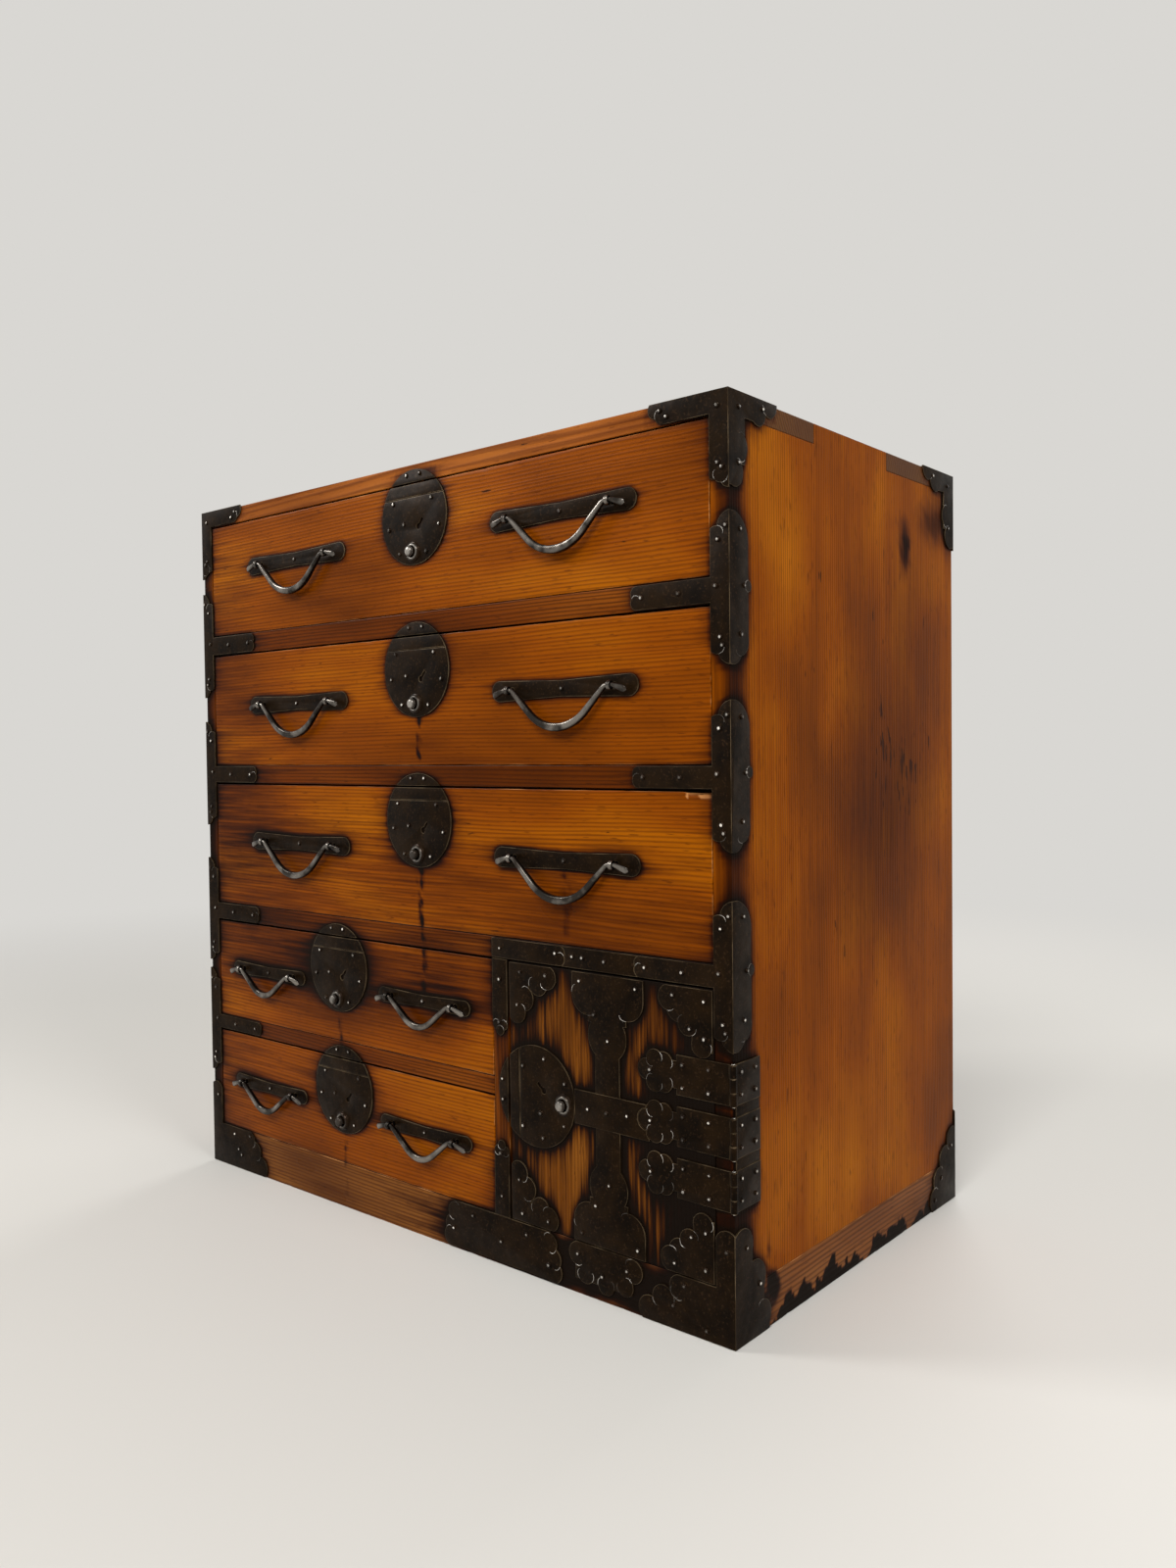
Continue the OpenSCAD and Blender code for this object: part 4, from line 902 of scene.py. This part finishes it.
def iron_plate(name, points, parts, body, replaced, width=0.38 * MM, material=plate_iron):
    """The islands as one mesh, with bevelled sharp edges whose faces have the value edge = 1."""
    bm = merged_copy(points, np.concatenate([own for own, _, _ in parts]))
    bmesh.ops.delete(bm, geom=[v for v in bm.verts if not v.link_faces], context="VERTS")
    made = bmesh.ops.bevel(bm, geom=sharp_edges(bm), offset=width, segments=2, profile=0.6, affect="EDGES",
                           clamp_overlap=False)
    bm.faces.index_update()
    rubbed = [f.index for f in made["faces"]]
    bmesh.ops.recalc_face_normals(bm, faces=bm.faces)
    mesh = mesh_of(name, bm)
    on_edge = np.zeros(len(mesh.polygons))
    on_edge[rubbed] = 1
    middle, normal = np.abs(read(mesh.polygons, "center")), np.abs(read(mesh.polygons, "normal"))
    beyond = (middle[:, 0] > WOOD_SIDE + FOLD_OUT) & (middle[:, 1] > FOLD_OUT - WOOD_FRONT)
    on_edge[(normal[:, :2] > 0.3).all(1) & beyond] *= FOLD_RUB
    mesh.polygons.foreach_set("use_smooth", np.ones(len(mesh.polygons), dtype=bool))
    mesh.set_sharp_from_angle(angle=math.radians(40))
    corners = read(mesh.polygons, "loop_total", 1, np.int32)[:, 0]
    return place_mesh(name, mesh, material, body, replaced, edge=np.repeat(on_edge, corners))


for node in ("corner_irons", "foot_irons", "edge_irons", "lock_keepers", "case_hinge_leaves"):
    iron_plate(node + "_plates", iron_points[node][0], split_islands(*iron_points[node]), "case", [node])
place_nails("case_nail_heads", split_islands(*mesh_arrays("case_nails")), "case", ["case_nails"], 7)
points, triangles = mesh_arrays("hinge_pins")
iron_plate("hinge_pin_rods", points, split_islands(points, triangles), "case", ["hinge_pins"], 0.4 * MM,
           nail_iron)


def nailed_plates(name, node, body, width=0.38 * MM):
    """A node's plates without the nail heads that are fused to them. Gives the heads."""
    points, triangles = iron_points[node]
    heads, bare = without_domes(points, triangles)
    iron_plate(name, points, split_islands(points, bare), body, [node], width)
    return heads


door_nails = [head for node in ("door_irons", "door_hinge_leaves")
              for head in nailed_plates(node + "_plates", node, "door")]
place_nails("door_nail_heads", door_nails, "door", [], 11)
print("door nails:", len(door_nails))

# %% [markdown]
# ## Chiselled curls
#
# The plates are cut in lobes, and where two lobes meet the smith has carried the line of the lobe a
# little way into the plate with a curved chisel. The burr of that cut is rubbed bright. The meeting
# points are found on the plate's own outline, as its inward corners, and each gets a low ridge that
# goes on along the lobe's circle.

# %% Curls
CURL_TURN = math.radians(38)
CURL_STEPS = 13
CURL_TALL = 0.3
CURL_HALF_WIDE = 0.32
CURL_TIGHT = 0.3
CURL_SUNK = 0.05
CURL_RUB = 0.45


def outline_corners(points, triangles, axis, side, level):
    """Inward corners of the plates on one face: place, heading, and the rounder lobe's turn per mm.

    The outline is the edges that belong to only one outward triangle, taken in the triangle's own sense.
    """
    face = points[:, axis] * side
    own = triangles[(np.abs(face[triangles] - level) < 0.02 * MM).all(1)]
    edges = np.concatenate([own[:, [0, 1]], own[:, [1, 2]], own[:, [2, 0]]])
    taken = {(int(a), int(b)) for a, b in edges}
    after = {a: b for a, b in taken if (b, a) not in taken}
    before = {b: a for a, b in after.items()}
    flat = points[:, [(axis + 1) % 3, (axis + 2) % 3]] / MM * [side, 1]
    found = []
    for here, following in sorted(after.items()):
        if here not in before:
            continue
        came, goes = flat[here] - flat[before[here]], flat[following] - flat[here]
        if math.atan2(came[0] * goes[1] - came[1] * goes[0], came @ goes) > -CURL_TURN:
            continue
        lobes = []
        for chain in (before, after):
            near = chain.get(here)
            far = chain.get(near)
            if far is None:
                continue
            last, first = flat[here] - flat[near], flat[near] - flat[far]
            bend = math.atan2(first[0] * last[1] - first[1] * last[0], first @ last)
            length = (np.hypot(*last) + np.hypot(*first)) / 2
            if length < 2.2 and 0.02 < abs(bend) / length < 0.3:
                lobes.append((flat[here], math.atan2(last[1], last[0]), bend / length))
        if lobes:
            found.append(max(lobes, key=lambda lobe: abs(lobe[2])))
    return found


def curl_ridges(corners, axis, side, level, draw):
    """A ridge along each curl, left out where it would leave the iron.

    Its turn per mm grows to CURL_TIGHT, and its section, a low half oval, fades as the sine of the way.
    """
    shapes = []
    t = np.linspace(0, np.pi, 5)
    for place, heading, bend in corners:
        length = draw.uniform(7, 11)
        s = np.linspace(0, length, CURL_STEPS)
        turn = bend + (math.copysign(CURL_TIGHT, bend) - bend) * (s / length) ** 1.5
        angle = heading + np.cumsum(turn) * s[1]
        step = np.stack([np.cos(angle), np.sin(angle)], -1) * s[1]
        line = place + np.cumsum(np.vstack([[0, 0], step[:-1]]), axis=0)
        on_face = line[2:] * [side, 1] * MM
        if axis == 1:
            on_face = on_face[:, ::-1]
        if not (looked_up(*iron_charts[axis, side], on_face) > 0.5).all():
            continue
        fade = np.sin(np.pi * (0.1 + 0.84 * s / length)) ** 0.7
        left = np.stack([-np.sin(angle), np.cos(angle)], -1)
        over = np.cos(t)[None, :, None] * CURL_HALF_WIDE * fade[:, None, None]
        flat = line[:, None] + left[:, None] * over
        points = np.zeros(flat.shape[:2] + (3,))
        points[..., [(axis + 1) % 3, (axis + 2) % 3]] = flat * [side, 1]
        points[..., axis] = side * (level / MM + np.sin(t)[None] * CURL_TALL * fade[:, None] - CURL_SUNK)
        index = np.arange(CURL_STEPS * len(t)).reshape(CURL_STEPS, len(t))
        quads = grid_quads(index, closed=True)[:, TURNED_OVER]
        shapes.append((points.reshape(-1, 3) * MM, [quads, index[:1, ::-1], index[-1:]]))
    return shapes


def joined(shapes):
    """Several (points, faces) shapes as one."""
    points, faces, start = [], [], 0
    for own, groups in shapes:
        points.append(own)
        faces += [group + start for group in groups]
        start += len(own)
    return np.concatenate(points), faces


def curls_on(name, nodes, body, seed):
    """All curls of the nodes' plates, on the four upright faces of the chest, as one mesh."""
    draw = np.random.default_rng(seed)
    shapes = []
    for node in nodes:
        points, triangles = iron_points[node]
        _, bare = without_domes(points, triangles)
        for axis, side in ((1, -1), (0, 1), (0, -1), (1, 1)):
            level = WOOD_OUT[axis] + PLATE_THICK
            shapes += curl_ridges(outline_corners(points, bare, axis, side, level), axis, side, level, draw)
    points, faces = joined(shapes)
    print(name, "curls:", len(shapes))
    return make_object(name, points, faces, nail_iron, body, edge=np.full(len(points), CURL_RUB))


curls_on("case_curls", ["corner_irons", "foot_irons", "edge_irons"], "case", 41)
curls_on("door_curls", ["door_irons", "door_hinge_leaves"], "door", 42)

# %% [markdown]
# ## Locks, knobs and eyes
#
# A lock is a round plate with a raised ring around its push knob. Ring and knob are turned shapes: a
# profile of radius and height carried round an axis. The eyes that hold a handle are split pins, so
# each is a ring of flattened rod on a stem.

# %% Turned shapes
FRONT = np.array([0, -1.0, 0])
RIGHT = np.array([1.0, 0, 0])


def tidy_faces(quads):
    """Quads with a doubled corner become triangles."""
    same = quads == np.roll(quads, -1, axis=1)
    whole = quads[~same.any(1)]
    pinched = quads[same.sum(1) == 1]
    where = np.argmax(same[same.sum(1) == 1], axis=1)
    keep = np.ones(pinched.shape, dtype=bool)
    keep[np.arange(len(pinched)), where] = False
    return [whole, pinched[keep].reshape(-1, 3)]


def turned(profile, centre, axis, sides=32):
    """A profile of (radius, height) rows, in mm, carried round the axis through centre (in metres).

    A profile that starts and ends at radius 0 closes at its poles; any other is closed into a ring.
    It runs anticlockwise, with the radius to the right and the height up, so that faces point outwards.
    """
    profile = np.asarray(profile, dtype=float) * MM
    turn = np.linspace(0, 2 * np.pi, sides, endpoint=False)
    first = np.array([axis[1], axis[2], axis[0]])
    ring = np.cos(turn)[:, None] * first + np.sin(turn)[:, None] * np.cross(axis, first)
    points = centre + profile[:, None, :1] * ring[None] + profile[:, None, 1:] * axis
    index = np.arange(len(profile) * sides).reshape(-1, sides)
    if profile[0, 0] > 0:
        index = np.concatenate([index, index[:1]])
    points, quads = weld(points.reshape(-1, 3), grid_quads(index, closed=True)[:, TURNED_OVER])
    return points, tidy_faces(quads)


KNOB_PROFILE = ((0, -1.5), (6.2, -1.5), (6.2, -0.4), (5.3, -0.3), (5.2, 2), (4.7, 3.4), (4.5, 4.6),
                (4.9, 5.8), (5.35, 6.8), (5.3, 7.8), (4.6, 8.8), (3.3, 9.5), (1.7, 9.85), (0, 9.95))
COLLAR_PROFILE = ((10.4, 0), (10.4, 0.3), (10.1, 0.75), (9.4, 0.8), (8.8, 1.2), (8.2, 2.3), (7.2, 2.8),
                  (6.3, 2.6), (5.75, 1.9), (5.75, 0))


def front_of(low, high):
    """The middle of a box from the front, on the wood's face."""
    return np.array([(low[0] + high[0]) / 2, WOOD_FRONT, (low[2] + high[2]) / 2])


def knob_and_ring(knob, ring, body):
    """The push knob, a waisted stud with a domed tip that moves by itself, and the ring around it."""
    centre = front_of(*span(knob))
    points, faces = turned(KNOB_PROFILE, centre, FRONT)
    height = (centre[1] - points[:, 1]) / MM
    rubbed = 0.4 * np.clip((height - 8.4) / 1.2, 0, 1) + 0.3 * np.exp(-((height - 6.8) / 0.5) ** 2)
    make_object(knob + "_stud", points, faces, nail_iron, knob, [knob], edge=rubbed)
    points, faces = turned(COLLAR_PROFILE, centre + FRONT * PLATE_THICK, FRONT, 40)
    height = (centre[1] - PLATE_THICK - points[:, 1]) / MM
    make_object(ring, points, faces, nail_iron, body, edge=0.3 * np.clip((height - 2.2) / 0.5, 0, 1))


# %% Drawer ironwork
EYE_OUT = 8.5 * MM
EYE_DEEP = 15 * MM  # only the eyes, with their stems, reach through this much
EYE_R = 3.55
EYE_HALF_THICK = 0.95
EYE_HALF_WIDE = 2.1
STEM_OUT = 3 * MM
STEM_PROFILE = ((0, -4.8), (2.3, -4.8), (2.2, 0), (2.6, 2.6), (0, 3.2))
CLINCH_IN = 20 * MM
CLINCH_PROFILE = ((0, -1.5), (4.2, -1.3), (4.8, -0.5), (4.4, 0.2), (0, 0.2))
WIDE_BEVEL = 0.55 * MM


def eye_shape(centre):
    """A split pin: a ring of flattened rod whose section is an oval, a stem, and bent legs inside."""
    t = np.linspace(0, 2 * np.pi, 14, endpoint=False)
    section = np.stack([EYE_R + EYE_HALF_THICK * np.cos(t), EYE_HALF_WIDE * np.sin(t)], -1)
    return joined([turned(section, centre + FRONT * EYE_OUT, RIGHT, 24),
                   turned(STEM_PROFILE, centre + FRONT * STEM_OUT, FRONT, 16),
                   turned(CLINCH_PROFILE, centre - FRONT * CLINCH_IN, FRONT, 20)])


def drawer_ironwork(n):
    """Splits a drawer's ironwork into its plates, nails and eyes, and makes the last two again."""
    node, body = f"drawer_{n}_ironwork", f"drawer_{n}"
    points, triangles = iron_points[node]
    nails, bare = without_domes(points, triangles)
    plates, eyes = [], []
    for part in split_islands(points, bare):
        (eyes if (part[2] - part[1])[1] > EYE_DEEP else plates).append(part)
    iron_plate(f"ironwork_{n}", points, plates, body, [node], WIDE_BEVEL)
    place_nails(f"nail_heads_{n}", nails, body, [], 20 + n)
    points, faces = joined([eye_shape(front_of(low, high)) for _, low, high in eyes])
    out = (WOOD_FRONT - points[:, 1]) / MM
    make_object(f"eyes_{n}", points, faces, rod_iron, body, edge=0.5 * np.clip((out - 9) / 3, 0, 1))
    knob_and_ring(f"drawer_{n}_knob", f"knob_ring_{n}", body)
    return len(nails), len(plates), len(eyes)


for n in DRAWERS:
    print("drawer", n, "nails, plates, eyes:", drawer_ironwork(n))
lock_nails = nailed_plates("door_lock_plate", "door_lock", "door", WIDE_BEVEL)
place_nails("door_lock_nails", lock_nails, "door", [], 31)
knob_and_ring("door_knob", "knob_ring_door", "door")
for node in [f"drawer_{n}_bolt" for n in DRAWERS] + ["door_bolt"]:
    frame["nodes"][node].data.materials.clear()
    frame["nodes"][node].data.materials.append(rod_iron)

# %% [markdown]
# ## Bail handles
#
# A bail is one forged rod. It is thick in the hand and thin at the eyes, and its ends are hammered to
# flat paddles that stop it slipping out. The rod's middle line is arcs and straight stretches, and the
# section is a soft square that changes its width and thickness along the way.

# %% The bail as a swept section
BEND_R = 5.0
TAIL_SLOPE = math.radians(18)
TAIL_L = 15.0
PATH_STEP = 1.5
EYE_HALF = 3.25
ROD_SIDES = 16
ROD_THIN = 2.25
TIP_SHARES = (0.15, 0.75, 0.95)  # how wide the last sections at each tip are
EYE_BELOW_TOP = 2.4 * MM
# Half the eyes' distance, lean of the arms, drop below the eyes, and half the rod's width in the hand
LARGE_BAIL = (62.5, math.radians(44), 36.0, 4.0)
SMALL_BAIL = (48.5, math.radians(38), 25.5, 3.6)


def half_path(grip, lean, drop):
    """Middle line of half a bail, from its lowest point out: rows of x, z and the way's angle, in mm.

    The bottom is an arc of radius R about a middle above it, the arm is straight at the lean angle,
    a small arc turns it level through the eye, and a last one slopes the end down.
    """
    inner, outer = grip - EYE_HALF, grip + EYE_HALF
    reach = (inner * math.tan(lean) - drop) / (math.sin(lean) * math.tan(lean) - (1 - math.cos(lean)))
    radius = reach - BEND_R
    arm = (inner - reach * math.sin(lean)) / math.cos(lean)
    rows = []

    def arc(x, z, r, start, end):
        t = np.linspace(start, end, max(3, int(abs(end - start) * abs(r) / PATH_STEP) + 1))
        rows.append(np.stack([x + r * np.sin(t), z - r * np.cos(t), t], -1))

    def line(angle, length):
        x, z, _ = rows[-1][-1]
        s = np.linspace(0, length, max(3, int(length / PATH_STEP) + 1))[1:]
        rows.append(np.stack([x + s * math.cos(angle), z + s * math.sin(angle), np.full(len(s), angle)], -1))

    arc(0, radius - drop, radius, 0, lean)
    line(lean, arm)
    arc(inner, -BEND_R, -BEND_R, lean, 0)
    line(0.0, outer - inner)
    arc(outer, -BEND_R, -BEND_R, 0, -TAIL_SLOPE)
    line(-TAIL_SLOPE, TAIL_L)
    path = np.concatenate(rows)
    gap = np.append(1, np.hypot(*np.diff(path[:, :2], axis=0).T))
    return path[gap > 0.05], inner, outer


def bail_shape(grip, lean, drop, rod, seed):
    """Points and faces of a bail about the middle of its eyes, in mm, and how bright each point is: rubbed
    metal where hands hold it, and a painted highlight along the rod's front face.
    """
    half, inner, outer = half_path(grip, lean, drop)
    path = np.concatenate([half[:0:-1] * [-1, 1, -1], half])
    along = np.abs(path[:, 0])
    # Half width in the plane of the bail, and half thickness
    bottom = np.clip(1 - along / (inner - 2), 0, 1) ** 0.6
    tail = np.clip((along - outer - 1) / 13, 0, 1)
    wide = ROD_THIN + (rod - ROD_THIN) * bottom + 1.15 * tail
    thick = ROD_THIN + (rod - 0.25 - ROD_THIN) * bottom - 0.95 * tail
    wide += 0.1 * np.sin(path[:, 0] / 7 + seed) * bottom
    for k, share in enumerate(TIP_SHARES):
        wide[[k, -1 - k]] *= share
        thick[[k, -1 - k]] *= share
    square = 2 / (2 + 1.6 * np.clip(bottom + tail, 0, 1))
    t = np.linspace(0, 2 * np.pi, ROD_SIDES, endpoint=False)
    c, s = np.cos(t)[None], np.sin(t)[None]
    u = np.sign(c) * np.abs(c) ** square[:, None] * wide[:, None]
    v = np.sign(s) * np.abs(s) ** square[:, None] * thick[:, None]
    angle = path[:, 2:]
    points = np.stack([path[:, :1] - u * np.sin(angle), v, path[:, 1:2] + u * np.cos(angle)], -1)
    index = np.arange(len(path) * ROD_SIDES).reshape(-1, ROD_SIDES)
    caps = np.stack([index[0], index[-1, ::-1]])
    # A bright band along the rod's front face: partly rubbed metal, partly a painted highlight
    front_rub_and_glint = np.clip(-np.sin(t), 0, 1)[None] ** 3 * (0.5 + 0.1 * bottom + 0.1 * tail)[:, None]
    return points.reshape(-1, 3), [grid_quads(index, closed=True), caps], front_rub_and_glint.reshape(-1)


for n in DRAWERS:
    for side in ("left", "right"):
        node = f"drawer_{n}_bail_{side}"
        low, high = span(node)
        middle = np.array([(low[0] + high[0]) / 2, WOOD_FRONT - EYE_OUT, high[2] - EYE_BELOW_TOP])
        points, faces, front_rub_and_glint = bail_shape(*(LARGE_BAIL if n < 4 else SMALL_BAIL), n + (side == "left") * 3)
        make_object(node + "_rod", points * MM + middle, faces, rod_iron, node, [node], edge=front_rub_and_glint)

# %% [markdown]
# ## Floor, light and camera
#
# The chest stands on a plain pale floor under soft, even light, so that its colours render about as
# they are written. The camera stands where the photograph's did: its place and turn were worked out
# from the chest's corners, and its lens gives the same width of view on a picture of 1200 by 1600.

# %% Stage
def seen_straight(add):
    """1 for rays from the camera, off gloss or through glass, which show the background; else 0."""
    rays = add("LightPath").outputs
    either = add("Math", [rays["Is Camera Ray"], rays["Is Glossy Ray"]], operation="MAXIMUM")
    return add("Math", [either, rays["Is Transmission Ray"]], operation="MAXIMUM")


def stage_material(name, colour, background):
    """A floor that fades into the background's colour far from the chest, without lighting it."""
    material, add, shader = new_material(name)
    fill(shader, {"Base Color": linear(colour), "Roughness": 0.7})
    away = add("VectorMath", [add("TexCoord").outputs["Object"]], operation="LENGTH")
    fade = add("MapRange", [away, 0.9, 3.0], interpolation_type="SMOOTHSTEP")
    fade = add("Math", [fade, seen_straight(add)], operation="MULTIPLY")
    glow = add("Emission", {"Color": linear(background), "Strength": 1.0})
    fill(material.node_tree.nodes["Material Output"], {"Surface": add("MixShader", [fade, shader, glow])})
    return material


BACKGROUND = "#d9d7d3"
FLOOR_HALF = 30.0
corners = np.array([[-1, -1, 0], [1, -1, 0], [1, 1, 0], [-1, 1, 0]]) * FLOOR_HALF
floor_mesh = bpy.data.meshes.new("floor")
floor_mesh.from_pydata(corners.tolist(), [], [[0, 1, 2, 3]])
floor_mesh.materials.append(stage_material("pale_floor", "#cfccc6", BACKGROUND))
floor = bpy.data.objects.new("floor", floor_mesh)
bpy.context.scene.collection.objects.link(floor)
print("floor:", 2 * FLOOR_HALF, "m wide")

# %% Lights and world
CHEST_MIDDLE = Vector((0, 0, 0.4))
# The place, size and power of each lamp, in metres and watts; all are turned to the chest's middle
LAMPS = {"key": ((1.1, -2.8, 2.7), 1.5, 98), "window": ((-2.6, -2.0, 2.6), 0.9, 58),
         "side": ((2.9, -0.6, 2.3), 1.3, 52), "back": ((-0.5, 2.8, 2.2), 2.0, 50)}
for name, (place, size, watts) in LAMPS.items():
    lamp = bpy.data.lights.new(name, "AREA")
    lamp.size = size
    lamp.energy = watts
    turn = (Vector(place) - CHEST_MIDDLE).to_track_quat("Z", "Y").to_matrix().to_4x4()
    holder = bpy.data.objects.new(name, lamp)
    bpy.context.scene.collection.objects.link(holder)
    holder.matrix_world = Matrix.Translation(place) @ turn
world = bpy.data.worlds.new("studio")
bpy.context.scene.world = world
world.use_nodes = True
add = partial(add_node, world.node_tree)
sky = fill(world.node_tree.nodes["Background"], {"Color": linear(BACKGROUND), "Strength": 0.29})
seen = add("Background", {"Color": linear(BACKGROUND), "Strength": 1.0})
fill(world.node_tree.nodes["World Output"], {"Surface": add("MixShader", [seen_straight(add), sky, seen])})
bpy.context.scene.view_settings.view_transform = "Standard"
print("lamps:", list(LAMPS))

# %% Camera
CAMERA_PLACE = (0.93483, -1.05871, 0.50412)
CAMERA_TURN = [math.radians(v) for v in (40.116, -1.608, -0.673)]
FOCAL_PIXELS = 1230.2
PICTURE_LONG = 1600
SENSOR = 36
azimuth, rise, roll = CAMERA_TURN
forward = Vector((-math.sin(azimuth) * math.cos(rise), math.cos(azimuth) * math.cos(rise), math.sin(rise)))
level = forward.cross(Vector((0, 0, 1))).normalized()
upright = level.cross(forward)
right = level * math.cos(roll) + upright * math.sin(roll)
up = upright * math.cos(roll) - level * math.sin(roll)
lens = bpy.data.cameras.new("camera")
lens.sensor_width = SENSOR
lens.lens = FOCAL_PIXELS * SENSOR / PICTURE_LONG
lens.clip_start = 0.01
camera = bpy.data.objects.new("camera", lens)
bpy.context.scene.collection.objects.link(camera)
camera.matrix_world = Matrix.Translation(CAMERA_PLACE) @ Matrix((right, up, -forward)).transposed().to_4x4()
bpy.context.scene.camera = camera
print("lens:", round(lens.lens, 2), "mm")
